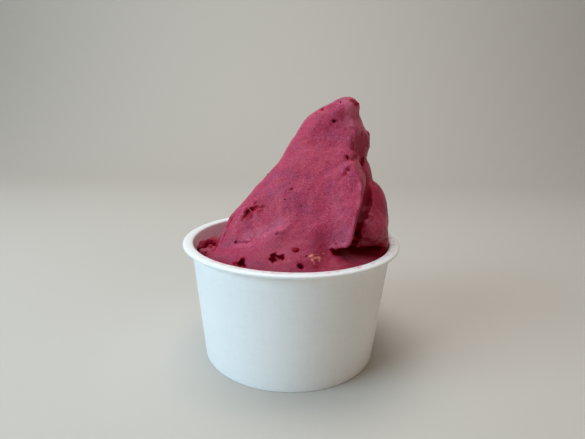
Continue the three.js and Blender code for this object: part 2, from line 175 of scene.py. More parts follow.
@dataclass(frozen=True)
class LeaningCone:
    """A cone with a ball at each end, squeezed from front to back."""

    foot: Triple
    tip: Triple
    foot_radius: float
    tip_radius: float
    squeeze: float

    def distance(self, p: Points) -> Field:
        """Work out about how far each place is outside the cone.

        Args:
            p: Places in millimetres.

        Returns:
            The distances, in millimetres.
        """
        scale = np.array([1, 1 / self.squeeze, 1])
        start, end = np.asarray(self.foot) * scale, np.asarray(self.tip) * scale
        axis, place = end - start, p * scale - start
        length2 = axis @ axis
        taper = self.foot_radius - self.tip_radius
        slant = length2 - taper * taper
        up = place @ axis
        over = up - length2
        aside2 = ((place * length2 - up[:, None] * axis) ** 2).sum(1)
        bound = abs(taper) * taper * aside2
        side = (np.sqrt(aside2 * slant / length2) + up * taper) / length2 - self.foot_radius
        at_tip = np.sqrt(aside2 + over * over * length2) / length2 - self.tip_radius
        at_foot = np.sqrt(aside2 + up * up * length2) / length2 - self.foot_radius
        past_tip = np.sign(over) * slant * over * over * length2 > bound
        below_foot = np.sign(up) * slant * up * up * length2 < bound
        return np.where(past_tip, at_tip, np.where(below_foot, at_foot, side)) * self.squeeze


@dataclass(frozen=True)
class Outline:
    """A smooth line given by a few pairs: how far along it, and its place there."""

    pairs: tuple[tuple[float, float], ...]

    def at(self, along: Field) -> Field:
        """Find the line's place at each distance along it.

        Args:
            along: Distances along the line.

        Returns:
            The places, on a smooth curve through the pairs.
        """
        knots, places = np.array(self.pairs, float).T
        slopes = np.gradient(places, knots)
        k = np.clip(np.searchsorted(knots, along) - 1, 0, len(knots) - 2)
        step = knots[k + 1] - knots[k]
        t = np.clip((along - knots[k]) / step, 0.0, 1.0)
        rise = t * t * (3 - 2 * t)
        bend = step * ((t**3 - 2 * t**2 + t) * slopes[k] + (t**3 - t**2) * slopes[k + 1])
        return places[k] * (1 - rise) + places[k + 1] * rise + bend


@dataclass(frozen=True)
class Edge:
    """The right edge of a layer: its line up the form, how steep it is and how it slants in depth."""

    line: Outline
    steepness: float
    slant: float
    at_y: float

    def beyond(self, p: Points) -> Field:
        """Return how far each place is to the right of the edge."""
        x, y, z = p.T
        return (x - self.line.at(z)) * self.steepness - self.slant * (y - self.at_y)


@dataclass(frozen=True)
class Zone:
    """A soft-edged part of space: the spans along each axis over which it goes from nothing to full."""

    x: tuple[tuple[float, float], ...] = ()
    y: tuple[tuple[float, float], ...] = ()
    z: tuple[tuple[float, float], ...] = ()
    back: float = math.inf
    top: float = math.inf

    def share(self, p: Points) -> Field:
        """Return how much of each place belongs to the zone.

        Args:
            p: Places in millimetres.

        Returns:
            Values from 0 to 1.
        """
        share = np.where((p[:, 1] < self.back) & (p[:, 2] < self.top), 1.0, 0.0)
        for along, spans in zip(p.T, (self.x, self.y, self.z)):
            for span in spans:
                share = share * eased(along, *span)
        return share


# ---- Waves and grain ------------------------------------------------------------------------


def waviness(p: Points, wavelength: float, shift: Triple) -> Field:
    """Wave slowly and evenly through space.

    Args:
        p: Places in millimetres.
        wavelength: Distance from crest to crest.
        shift: Offset of the pattern.

    Returns:
        Values from -1 to 1.
    """
    q = (p + shift) * (2 * math.pi / wavelength)
    s, c = np.sin(q), np.cos(q)
    return (s[:, 0] * c[:, 1] + s[:, 1] * c[:, 2] + s[:, 2] * c[:, 0]) / 1.5


@dataclass(frozen=True)
class Grain:
    """Seeded random relief: a smooth field of small hills and dips through space."""

    wavelength: float
    height: float
    seed: int
    stretch: Triple = (1.0, 1.0, 1.0)

    def _slopes(self, lattice: np.ndarray) -> np.ndarray:
        """Give each lattice place the random slope that belongs to it.

        Args:
            lattice: Whole-number places.

        Returns:
            Three numbers from -1 to 1 for each.
        """
        mixed = lattice.astype(np.uint32) * np.array([0x9E3779B1, 0x85EBCA77, 0xC2B2AE3D], np.uint32)
        n = mixed[:, 0] ^ mixed[:, 1] ^ mixed[:, 2] ^ np.uint32(self.seed * 2654435761 % 2**32)
        n ^= n >> np.uint32(15)
        n *= np.uint32(0x2C1B3C6D)
        n ^= n >> np.uint32(12)
        parts = [(n >> np.uint32(shift)) & np.uint32(1023) for shift in (0, 10, 20)]
        return np.stack(parts, 1).astype(np.float64) / 511.5 - 1.0

    def at(self, p: Points) -> Field:
        """Work out the relief at each place.

        Args:
            p: Places in millimetres.

        Returns:
            The heights, in millimetres.
        """
        q = p / (self.wavelength * np.asarray(self.stretch)) + 0.37
        base = np.floor(q).astype(np.int64)
        part = q - base
        ease = part**3 * (part * (part * 6 - 15) + 10)
        total = np.zeros(len(p))
        for corner in np.ndindex(2, 2, 2):
            offset = np.asarray(corner)
            weight = np.prod(np.where(offset, ease, 1 - ease), axis=1)
            total += weight * (self._slopes(base + offset) * (part - offset)).sum(1)
        return total * self.height * 1.6


# ---- The gelato's form ----------------------------------------------------------------------


@dataclass(frozen=True)
class CupSizes:
    """The cup's own sizes, in millimetres."""

    height: float = 50.0
    rim_radius: float = 44.95
    rim_width: float = 4.1
    rim_height: float = 1.8
    wall_top: float = 41.5
    wall_foot: float = 36.6
    board: float = 0.6

    @property
    def slope(self) -> float:
        """Return how much the wall widens for each millimetre of height."""
        return (self.wall_top - self.wall_foot) / (self.height - self.rim_height)

    def outer(self, z: float | Field) -> float | Field:
        """Return the wall's outer radius at a height."""
        return self.wall_foot + self.slope * z

    def inner(self, z: float | Field) -> float | Field:
        """Return the wall's inner radius at a height."""
        return self.outer(z) - self.board


class Blend(float, Enum):
    """How wide two forms blend where they meet, in millimetres."""

    CREASE = 0.9
    CRISP = 1.4
    SOFT = 2.5
    ROUND = 5.0
    BROAD = 8.0


CREASE, CRISP, SOFT, ROUND, BROAD = (blend.value for blend in Blend)


@dataclass(frozen=True)
class Swelling:
    """A gentle swelling or dip of the front face."""

    x: float
    z: float
    wide: float
    high: float
    proud: float

    def at(self, x: Field, z: Field) -> Field:
        """Return how far the face stands out at each place."""
        return self.proud * np.exp(-(((x - self.x) / self.wide) ** 2) - ((z - self.z) / self.high) ** 2)


@dataclass(frozen=True)
class SweptFace:
    """The steep front face that the spatula left, with a short lip that rises to the right."""

    at: Triple = (18, -27, 54)
    back: float = 0.45
    aside: float = -0.2
    swellings: tuple[Swelling, ...] = (Swelling(2, 72, 17, 16, 2.4), Swelling(15, 92, 8, 8, -1.2))
    lip: Outline = Outline((
        (-26, 52.0), (-20.5, 52.8), (-13, 54.2), (-9.5, 56.0), (-6, 58.4), (-1, 61.2), (6, 64),
    ))
    lip_proud: float = 2.1
    lip_rise: tuple[float, float] = (-0.5, 0.7)
    lip_fade: float = 7.0
    lip_starts: tuple[float, float] = (-22, -19.5)
    lip_ends: tuple[float, float] = (-5, 1)

    def distance(self, p: Points) -> Field:
        """Work out how far each place is in front of the face.

        Args:
            p: Places in millimetres.

        Returns:
            The distances, in millimetres.
        """
        x, y, z = p.T
        face = self.at[1] + self.back * (z - self.at[2]) + self.aside * (x - self.at[0])
        face = face - sum(swelling.at(x, z) for swelling in self.swellings)
        below = self.lip.at(x) - z
        rise = eased(below, *self.lip_rise) * np.exp(-((np.maximum(below, 0) / self.lip_fade) ** 2))
        face = face - self.lip_proud * rise * eased(x, *self.lip_starts) * (1 - eased(x, *self.lip_ends))
        return (face - y) / math.hypot(1, self.back, self.aside)


@dataclass(frozen=True)
class BackLayer:
    """A layer that the spatula laid over the back: how thick it is and where it ends in front."""

    thickness: float
    front: float


@dataclass(frozen=True)
class GelatoForm:
    """The gelato as it was spread: the filling, the peak, the flap and the lobe at its side."""

    cup: CupSizes = CupSizes()
    gap: float = 0.45
    broad_waves: tuple[tuple[float, Triple], ...] = ((41, (3, 0, 0)), (37, (0, 11, 5)), (45, (7, 2, 19)))
    short_waves: tuple[tuple[float, Triple], ...] = ((17, (1, 5, 2)), (19, (9, 1, 3)), (16, (4, 8, 0)))
    wave_heights: tuple[float, float] = (0.6, 0.22)
    face: SweptFace = SweptFace()
    core: LeaningCone = LeaningCone((8.5, 2, 42), (20, 2, 95.5), 30.5, 6.5, 0.9)
    back_planes: tuple[Plane, ...] = (
        Plane((-4, 20, 62), (-0.5, 0.66, 0.56)),
        Plane((20, 22, 62), (0.22, 0.8, 0.5)),
    )
    cap: Lobe = Lobe((23.3, 1, 93.2), (5.1, 9, 12), lean=-13.5)
    tip: Lobe = Lobe((19.8, -2, 103.4), (5.3, 5.6, 4.5), lean=-14)
    shoulder: Lobe = Lobe((25.7, 5, 89.8), (6.2, 8.5, 6.6), lean=8)
    shoulder_top: Plane = Plane((31, 5, 91.7), (0.79, -0.1, 0.61))
    shoulder_blend: tuple[float, float] = (4, 12)
    tall_layer: BackLayer = BackLayer(2.6, 8)
    tall_top: tuple[float, float] = (86, 0.3)
    tall_side: tuple[float, float, float, float, float] = (-6, 60, 0.55, 0.004, 0.85)
    low_layer: BackLayer = BackLayer(2.2, -4)
    low_top: Plane = Plane((-8, 16, 57), (0.5, 0.1, 0.86))
    neck: Lobe = Lobe((25.8, 4, 76.5), (6.2, 10, 10.2), lean=-8)
    side_lobe: Lobe = Lobe((28, 2, 58.6), (12.8, 17.5, 20.4), lean=-11)
    side_top: Plane = Plane((35.2, 0, 74.0), (0.3, -0.12, 0.94))
    side_back: Plane = Plane((30, 16, 62), (0.35, 0.85, 0.4))
    bulge: Lobe = Lobe((29.4, -7.5, 56.5), (9.4, 12.4, 7.4), lean=4, nod=-8)
    skirt: Lobe = Lobe((35.6, -4.5, 50.5), (5.6, 9.5, 4.6), lean=8)
    valley: tuple[Stroke, ...] = (
        Stroke((28.9, -7.6, 76.5), (28.3, -12.2, 67.3), (1.9, 2.3)),
        Stroke((28.3, -12.2, 67.3), (27.4, -15.0, 63.4), (2.3, 2.2)),
        Stroke((27.4, -15.0, 63.4), (24.6, -18.2, 59.8), (2.2, 1.2)),
        Stroke((24.6, -18.4, 59.8), (24.3, -19.6, 57.2), (1.0, 1.2)),
    )
    slab_left: Edge = Edge(Outline((
        (40, -32), (50, -29.5), (58, -25.6), (66, -19.2), (74, -12.6),
        (82, -6.4), (92, 1.4), (99, 6.3), (104, 9.4), (110, 13.8),
    )), 0.8, -0.06, -14)
    slab_thickness: float = 9.0
    slab_top: Plane = Plane((9.5, 0, 105.0), (-0.24, 0, 0.97))
    upper_edge: Edge = Edge(Outline((
        (72, 18), (81.2, 19.2), (85, 20.7), (88.7, 21.3), (95.5, 20.8), (99, 19.4), (103, 19.2), (108, 18),
    )), 0.9, 0.2, -18)
    flap_edge: Edge = Edge(Outline((
        (48, 20.5), (55, 22.6), (60.5, 23.9), (66, 25.2), (71.9, 26.5), (79.5, 25.7), (84, 22), (88, 17),
    )), 0.9, 0.2, -20)
    flap_thickness: float = 8.5
    flap_proud: float = 2.6
    flap_proud_over: tuple[float, float] = (11, 23)
    flap_narrower: float = 1.0
    flap_top: Plane = Plane((21, -20, 83.5), (-0.5, 0, 0.86))
    flap_taper: tuple[float, float, float] = (2, 70, 0.5)
    flap_foot: tuple[float, float, float] = (14, 53.4, 0.38)
    front_fill: Lobe = Lobe((-6, -16.8, 44), (30, 20.5, 12.2), lean=-9, nod=6)
    front_blend: tuple[tuple[float, float], tuple[float, float]] = ((-12, 2), (7, 14))
    right_fill: Lobe = Lobe((17, -13, 40), (24, 25, 10.8))
    hollows: tuple[Lobe, ...] = (
        Lobe((21.6, -25, 53.4), (7.0, 10.5, 1.9), lean=-11),
        Lobe((28, -19.5, 50.7), (13.5, 10, 1.5), lean=7),
    )
    level: float = 44.5
    level_rise: tuple[float, float] = (1.0, 2.0)
    level_reach: float = 30.0
    left_fold: Stroke = Stroke((-22.8, -5, 59.5), (-29.8, -8.5, 47.5), (1.2, 2.2))
    lumps_at_wall: tuple[Lobe, ...] = (
        Lobe((-33, -12, 45.5), (4, 4, 3.5)),
        Lobe((-35.5, -4, 45), (3.5, 4, 3.5)),
        Lobe((-31, -1, 46), (3.5, 3, 3)),
    )

    def hand_made(self, p: Points) -> Points:
        """Shift every place a little, because hand-spread food has no true planes.

        Args:
            p: Places in millimetres.

        Returns:
            The shifted places.
        """
        broad, short = self.wave_heights
        slow = np.stack([waviness(p, *wave) for wave in self.broad_waves], 1)
        quick = np.stack([waviness(p, *wave) for wave in self.short_waves], 1)
        return p + broad * slow + short * quick

    def middle(self, p: Points) -> Field:
        """Form the cone in the middle with its turned cap, flattened at the back.

        Args:
            p: Places in millimetres.

        Returns:
            The form's distance at each place.
        """
        form = self.core.distance(p)
        for plane in self.back_planes:
            form = cut_to(form, plane.distance(p), ROUND)
        form = joined(form, self.cap.distance(p), SOFT)
        form = joined(form, self.tip.distance(p), SOFT)
        shoulder = cut_to(self.shoulder.distance(p), self.shoulder_top.distance(p), SOFT)
        return joined(form, shoulder, SOFT + ROUND * eased(p[:, 1], *self.shoulder_blend))

    def back_strokes(self, p: Points, core: Field) -> Field:
        """Add the two layers that the spatula laid over the back.

        Args:
            p: Places in millimetres.
            core: The middle's distance at each place.

        Returns:
            The form's distance at each place.
        """
        x, y, z = p.T
        at_x, at_z, slope, bend, steepness = self.tall_side
        side = at_x + slope * (z - at_z) + bend * (z - at_z) ** 2
        tall = cut_to(core - self.tall_layer.thickness, (side - x) * steepness, CRISP)
        tall = cut_to(tall, self.tall_layer.front - y, ROUND)
        tall = cut_to(tall, z - self.tall_top[0] - self.tall_top[1] * x, SOFT)
        low = cut_to(core - self.low_layer.thickness, self.low_top.distance(p), CRISP)
        low = cut_to(low, self.low_layer.front - y, ROUND)
        return joined(joined(core, tall, CREASE), low, CREASE)

    def with_side_lobe(self, p: Points, form: Field) -> Field:
        """Add the lobe on the right, its neck and the valley before it.

        Args:
            p: Places in millimetres.
            form: The form so far, as a distance at each place.

        Returns:
            The form's distance at each place.
        """
        side = cut_to(self.side_lobe.distance(p), self.side_back.distance(p), SOFT)
        side = cut_to(side, self.side_top.distance(p), CRISP)
        side = joined(joined(side, self.bulge.distance(p), SOFT), self.skirt.distance(p), SOFT)
        both = joined(joined(form, self.neck.distance(p), CRISP), side, CREASE)
        for groove in self.valley:
            both = cut_to(both, -groove.distance(p), CRISP)
        return both

    def with_slab(self, p: Points, form: Field) -> Field:
        """Add the swept slab and the flap that stands proud of it.

        Args:
            p: Places in millimetres.
            form: The form so far, as a distance at each place.

        Returns:
            The form's distance at each place.
        """
        x, z = p[:, 0], p[:, 2]
        face = self.face.distance(p)
        left = -self.slab_left.beyond(p)
        upper = cut_to(cut_to(face, -face - self.slab_thickness, SOFT), left, ROUND)
        upper = cut_to(upper, self.slab_top.distance(p), ROUND)
        upper = cut_to(upper, self.upper_edge.beyond(p), CRISP)
        outer = face - self.flap_proud * eased(x, *self.flap_proud_over)
        flap = cut_to(outer, -outer - self.flap_thickness, SOFT)
        flap = cut_to(flap, left + self.flap_narrower, ROUND)
        taper_x, taper_z, slope = self.flap_taper
        flap = cut_to(flap, taper_x - x - slope * (taper_z - z), BROAD)
        flap = cut_to(flap, self.flap_edge.beyond(p), CREASE)
        flap = cut_to(flap, self.flap_top.distance(p), CRISP)
        foot_x, foot_z, rise = self.flap_foot
        flap = cut_to(flap, foot_z - z + rise * (x - foot_x), CREASE)
        return joined(joined(form, upper, CRISP), flap, CREASE)

    def with_filling(self, p: Points, form: Field) -> Field:
        """Add what fills the cup, full in front and lower behind.

        Args:
            p: Places in millimetres.
            form: The form so far, as a distance at each place.

        Returns:
            The form's distance at each place.
        """
        x, y, z = p.T
        begins, ends = self.front_blend
        middle = eased(x, *begins) * (1 - eased(x, *ends))
        full = joined(form, self.front_fill.distance(p), CRISP + BROAD * middle)
        full = joined(full, self.right_fill.distance(p), SOFT)
        for hollow in self.hollows:
            full = cut_to(full, -hollow.distance(p), CREASE)
        aside, forward = np.clip(x / self.level_reach, -1, 1), np.clip(-y / self.level_reach, -1, 1)
        level = self.level + self.level_rise[0] * aside + self.level_rise[1] * forward
        return joined(full, z - level, ROUND)

    def in_cup(self, p: Points, form: Field) -> Field:
        """Keep the form inside the cup's wall.

        Args:
            p: Places in millimetres.
            form: The form so far, as a distance at each place.

        Returns:
            The form's distance at each place.
        """
        reach = self.cup.inner(p[:, 2]) - self.gap
        wall = (np.hypot(p[:, 0], p[:, 1]) - reach) / math.hypot(1, self.cup.slope)
        return cut_to(form, wall, CRISP)

    def distance(self, place: Points) -> Field:
        """Work out about how far each place is outside the gelato.

        Args:
            place: Places in millimetres.

        Returns:
            The distances, in millimetres.
        """
        p = self.hand_made(place)
        form = self.with_side_lobe(p, self.back_strokes(p, self.middle(p)))
        form = joined(form, self.left_fold.distance(p), CREASE)
        form = self.with_filling(p, self.with_slab(p, form))
        for lump in self.lumps_at_wall:
            form = joined(form, lump.distance(p), CREASE)
        return self.in_cup(place, form)


# ---- Drawing a form's surface ---------------------------------------------------------------

CORNERS = np.array([[n & 1, n >> 1 & 1, n >> 2 & 1] for n in range(8)])
EDGES = [(a, a | bit) for a in range(8) for bit in (1, 2, 4) if not a & bit]


def is_simple(mask: int) -> bool:
    """Tell whether a cell with these inside corners holds one plain piece of surface.

    Args:
        mask: One bit for each corner that is inside.

    Returns:
        True if the inside corners hang together, the outside ones do too, and no face is checked.
    """
    for axis in range(3):
        for side in (0, 1):
            a, b, c, d = [mask >> n & 1 for n in range(8) if CORNERS[n][axis] == side]
            if a == d and b == c and a != b:
                return False
    for side in (mask, ~mask & 255):
        reached = side & -side
        for _ in range(8):
            for a, b in EDGES:
                both = 1 << a | 1 << b
                if side & both == both and reached & both:
                    reached |= both
        if reached != side:
            return False
    return True


SIMPLE = np.array([is_simple(mask) for mask in range(256)])


@dataclass
class Surface:
    """The surface of a form as quads with one point in each cell of an even grid."""

    form: Callable[[Points], Field]
    fine_form: Callable[[Points], Field]
    low: Triple
    high: Triple
    cell: float
    coarse: int = 4
    margin: float = 1.0
    half_diagonal: float = 0.87
    batches: int = 12
    nudge: float = 0.02

    def _grid_points(self, index: np.ndarray, step: float) -> Points:
        """Return the places of grid indices, in millimetres."""
        return np.asarray(self.low) + index * step

    def _values(self) -> np.ndarray:
        """Work out the distances on the grid: fine near the surface, rough elsewhere.

        Returns:
            The distance at each grid place.
        """
        step = self.cell * self.coarse
        blocks = np.ceil(np.subtract(self.high, self.low) / step).astype(int)
        rough_index = np.stack(np.indices(blocks + 1), -1).reshape(-1, 3)
        rough = self.form(self._grid_points(rough_index, step)).reshape(blocks + 1)
        corners = [rough[i:blocks[0] + i, j:blocks[1] + j, k:blocks[2] + k] for i, j, k in CORNERS]
        near = np.min(np.abs(corners), axis=0) < step * self.half_diagonal + self.margin
        size = blocks * self.coarse + 1
        half = self.coarse // 2
        nearest = [np.minimum((np.arange(n) + half) // self.coarse, last) for n, last in zip(size, blocks)]
        values = rough[np.ix_(*nearest)]
        wanted = np.zeros(size, bool)
        spread = near.repeat(self.coarse, 0).repeat(self.coarse, 1).repeat(self.coarse, 2)
        for i, j, k in CORNERS:
            wanted[i:size[0] - 1 + i, j:size[1] - 1 + j, k:size[2] - 1 + k] |= spread
        index = np.argwhere(wanted)
        parts = np.array_split(index, self.batches)
        found = [self.fine_form(self._grid_points(part, self.cell)) for part in parts]
        values[tuple(index.T)] = np.concatenate(found)
        return values

    @staticmethod
    def _masks(values: np.ndarray) -> np.ndarray:
        """Tell which of each cell's corners are inside.

        Args:
            values: The distance at each grid place.

        Returns:
            One number for each cell, with a bit for each corner.
        """
        inside = values < 0
        nx, ny, nz = np.array(values.shape) - 1
        masks = np.zeros((nx, ny, nz), np.uint8)
        for n, (i, j, k) in enumerate(CORNERS):
            masks |= inside[i:nx + i, j:ny + j, k:nz + k].astype(np.uint8) << np.uint8(n)
        return masks

    def _untangled(self, values: np.ndarray) -> np.ndarray:
        """Nudge grid values until every cell is simple.

        Args:
            values: The distance at each grid place, changed in place.

        Returns:
            The cells' masks.
        """
        nudge = self.nudge * self.cell
        while True:
            masks = self._masks(values)
            tangled = np.argwhere(~SIMPLE[masks])
            if not len(tangled):
                return masks
            around = tangled[:, None, :] + CORNERS[None]
            size = np.abs(values[tuple(around.transpose(2, 0, 1))])
            weakest = around[np.arange(len(tangled)), size.argmin(1)]
            weakest = tuple(np.unique(weakest, axis=0).T)
            values[weakest] = np.where(values[weakest] < 0, nudge, -nudge)
            nudge += self.nudge * self.cell

    def quads(self) -> tuple[Points, np.ndarray]:
        """Work the surface out.

        Returns:
            The points in millimetres, and the four points of each quad.
        """
        values = self._values()
        masks = self._untangled(values)
        cells = np.argwhere((masks != 0) & (masks != 255))
        number = np.full(masks.shape, -1, np.int64)
        number[tuple(cells.T)] = np.arange(len(cells))
        total = np.zeros((len(cells), 3))
        count = np.zeros(len(cells))
        for a, b in EDGES:
            va = values[tuple((cells + CORNERS[a]).T)]
            vb = values[tuple((cells + CORNERS[b]).T)]
            crossed = (va < 0) != (vb < 0)
            t = np.where(crossed, va / np.where(crossed, va - vb, 1.0), 0.0)
            total += crossed[:, None] * (CORNERS[a] + t[:, None] * (CORNERS[b] - CORNERS[a]))
            count += crossed
        points = self._grid_points(cells + total / count[:, None], self.cell)
        inside = values < 0
        faces = []
        for axis in range(3):
            u, v = (axis + 1) % 3, (axis + 2) % 3
            shape = np.array(values.shape)
            inner = [slice(1, count - 1) for count in shape]
            here, ahead = list(inner), list(inner)
            here[axis], ahead[axis] = slice(0, shape[axis] - 1), slice(1, shape[axis])
            at = np.argwhere(inside[tuple(here)] != inside[tuple(ahead)]) + (np.arange(3) != axis)
            around = []
            for du, dv in ((0, 0), (-1, 0), (-1, -1), (0, -1)):
                shifted = at.copy()
                shifted[:, u] += du
                shifted[:, v] += dv
                around.append(number[tuple(shifted.T)])
            quad = np.stack(around, 1)
            outward = inside[tuple(at.T)]
            faces.append(np.where(outward[:, None], quad, quad[:, ::-1]))
        return points, np.concatenate(faces)


def largest_part(points: Points, quads: np.ndarray) -> tuple[Points, np.ndarray]:
    """Keep the largest connected part of a mesh.

    Args:
        points: The mesh's points.
        quads: Its faces.

    Returns:
        The points and faces of that part.
    """
    label = np.arange(len(points))
    while True:
        low = label[quads].min(1)
        new = label.copy()
        for n in range(4):
            np.minimum.at(new, quads[:, n], low)
        new = new[new]
        if np.array_equal(new, label):
            break
        label = new
    kept = label[quads[:, 0]] == np.bincount(label[quads[:, 0]]).argmax()
    used, faces = np.unique(quads[kept], return_inverse=True)
    return points[used], faces.reshape(-1, 4)


def mesh_object(name: str, points: Points, faces: Iterable[Sequence[int]]) -> bpy.types.Object:
    """Make an object from points in millimetres, shaded smooth.

    Args:
        name: The object's name.
        points: Places in millimetres.
        faces: Each face's points.

    Returns:
        The object, linked to the scene.
    """
    mesh = bpy.data.meshes.new(name)
    mesh.from_pydata((np.asarray(points) * MM).tolist(), [], [list(map(int, face)) for face in faces])
    mesh.validate()
    mesh.shade_smooth()
    made = bpy.data.objects.new(name, mesh)
    bpy.context.scene.collection.objects.link(made)
    return made


class Trait(Enum):
    """What a mesh stores at each of its points, from 0 to 1, for its finish to read."""

    # several of these carry painted light and shade: highlights on edges and the lip, paler mauve on the cap
    # and neck, and shade in folds, crevices, valleys and low in front
    FROST_AND_HIGHLIGHT = "frost_and_painted_highlight"
    CREVICE_SHADE = "shelter"
    MAUVE_LIGHT_AND_SHADE = "mauve"
    PAINTED_LOW_SHADE = "deep"
    JUICE_AND_SHADE = "juice_and_shade"
    SKIN = "skin"
    WET = "wet"
    PULP = "pulp"
    STAIN = "stain"
    SOAK = "soak"
    ROLLED = "rolled"


def store(mesh: bpy.types.Mesh, trait: Trait, values: Field) -> None:
    """Store a number for each point of a mesh.

    Args:
        mesh: The mesh.
        trait: What the numbers tell.
        values: One number for each point.
    """
    layer = mesh.attributes.new(trait.value, "FLOAT", "POINT")
    layer.data.foreach_set("value", np.asarray(values, np.float32))


# ---- Finishes -------------------------------------------------------------------------------


class Reckoning(Enum):
    """An arithmetic step between two patterns."""

    ADD = "ADD"
    MULTIPLY = "MULTIPLY"
    LARGER = "MAXIMUM"


class Sheet:
    """A material's nodes, laid out by short calls."""

    def __init__(self, name: str) -> None:
        """Start a material with a shader and its output.

        Args:
            name: The material's name.
        """
        self.material = bpy.data.materials.new(name)
        self.material.use_nodes = True
        self.tree = self.material.node_tree
        self.shader = self.tree.nodes["Principled BSDF"]
        self.place = self.add("ShaderNodeTexCoord").outputs["Object"]

    def add(self, kind: str, **settings: object) -> bpy.types.Node:
        """Add a node and set its properties.

        Args:
            kind: The node's type.
            settings: Its properties by name.

        Returns:
            The node.
        """
        node = self.tree.nodes.new(kind)
        for key, value in settings.items():
            setattr(node, key, value)
        return node

    def feed(self, socket: bpy.types.NodeSocket, value: object) -> None:
        """Give an input a plain value, or link it to another node's output.

        Args:
            socket: The input.
            value: A value or an output.
        """
        if isinstance(value, bpy.types.NodeSocket):
            self.tree.links.new(value, socket)
        else:
            socket.default_value = value

    def stretched(self, scale: Triple) -> bpy.types.NodeSocket:
        """Scale the object's coordinates.

        Args:
            scale: The factor along each axis.

        Returns:
            The scaled coordinates.
        """
        node = self.add("ShaderNodeMapping")
        self.feed(node.inputs["Vector"], self.place)
        self.feed(node.inputs["Scale"], scale)
        return node.outputs["Vector"]

    def noise(self, size: float, detail: float = 3.0, rough: float = 0.55,
              place: Optional[bpy.types.NodeSocket] = None) -> bpy.types.NodeSocket:
        """Return a cloudy pattern of a given size.

        Args:
            size: About the width of a cloud, in millimetres.
            detail: How many finer layers it holds.
            rough: How strong the finer layers are.
            place: Coordinates to use, the object's own if left out.

        Returns:
            The pattern, about 0 to 1.
        """
        node = self.add("ShaderNodeTexNoise")
        self.feed(node.inputs["Vector"], place or self.place)
        self.feed(node.inputs["Scale"], 1 / (size * MM))
        self.feed(node.inputs["Detail"], detail)
        self.feed(node.inputs["Roughness"], rough)
        return node.outputs["Fac"]

    def read(self, trait: Trait) -> bpy.types.NodeSocket:
        """Return a number stored on the mesh."""
        return self.add("ShaderNodeAttribute", attribute_name=trait.value).outputs["Fac"]

    def reckon(self, kind: Reckoning, a: object, b: object) -> bpy.types.NodeSocket:
        """Work out an arithmetic step, kept from 0 to 1.

        Args:
            kind: The step.
            a: The first number or pattern.
            b: The second.

        Returns:
            The result.
        """
        node = self.add("ShaderNodeMath", operation=kind.value, use_clamp=True)
        self.feed(node.inputs[0], a)
        self.feed(node.inputs[1], b)
        return node.outputs[0]

    def ramp(self, value: bpy.types.NodeSocket, low: float, high: float,
             to_low: float = 0.0, to_high: float = 1.0) -> bpy.types.NodeSocket:
        """Map a value smoothly from one range to another.

        Args:
            value: The pattern to map.
            low: Where the ramp starts.
            high: Where it ends.
            to_low: The result at its start.
            to_high: The result at its end.

        Returns:
            The mapped value.
        """
        node = self.add("ShaderNodeMapRange", interpolation_type="SMOOTHSTEP", clamp=True)
        for key, number in {"From Min": low, "From Max": high, "To Min": to_low, "To Max": to_high}.items():
            self.feed(node.inputs[key], number)
        self.feed(node.inputs["Value"], value)
        return node.outputs["Result"]

    def mix(self, share: bpy.types.NodeSocket, a: object, b: object) -> bpy.types.NodeSocket:
        """Mix two colours.

        Args:
            share: How much of the second, from 0 to 1.
            a: The first colour.
            b: The second colour.

        Returns:
            The mixed colour.
        """
        node = self.add("ShaderNodeMix", data_type="RGBA")
        self.feed(node.inputs[0], share)
        self.feed(node.inputs[6], a)
        self.feed(node.inputs[7], b)
        return node.outputs[2]

    def bump(self, height: bpy.types.NodeSocket, deep: float, strength: float) -> bpy.types.NodeSocket:
        """Return a normal bent by a height pattern.

        Args:
            height: The pattern, 0 to 1.
            deep: Its depth in millimetres.
            strength: Share of the effect.

        Returns:
            The bent normal.
        """
        node = self.add("ShaderNodeBump")
        self.feed(node.inputs["Height"], height)
        self.feed(node.inputs["Distance"], deep * MM)
        self.feed(node.inputs["Strength"], strength)
        return node.outputs["Normal"]

    def set(self, **values: object) -> bpy.types.Material:
        """Set the shader's inputs.

        Args:
            values: Plain values or outputs, by the input's name with _ for a space.

        Returns:
            The material.
        """
        for key, value in values.items():
            self.feed(self.shader.inputs[key.replace("_", " ")], value)
        return self.material


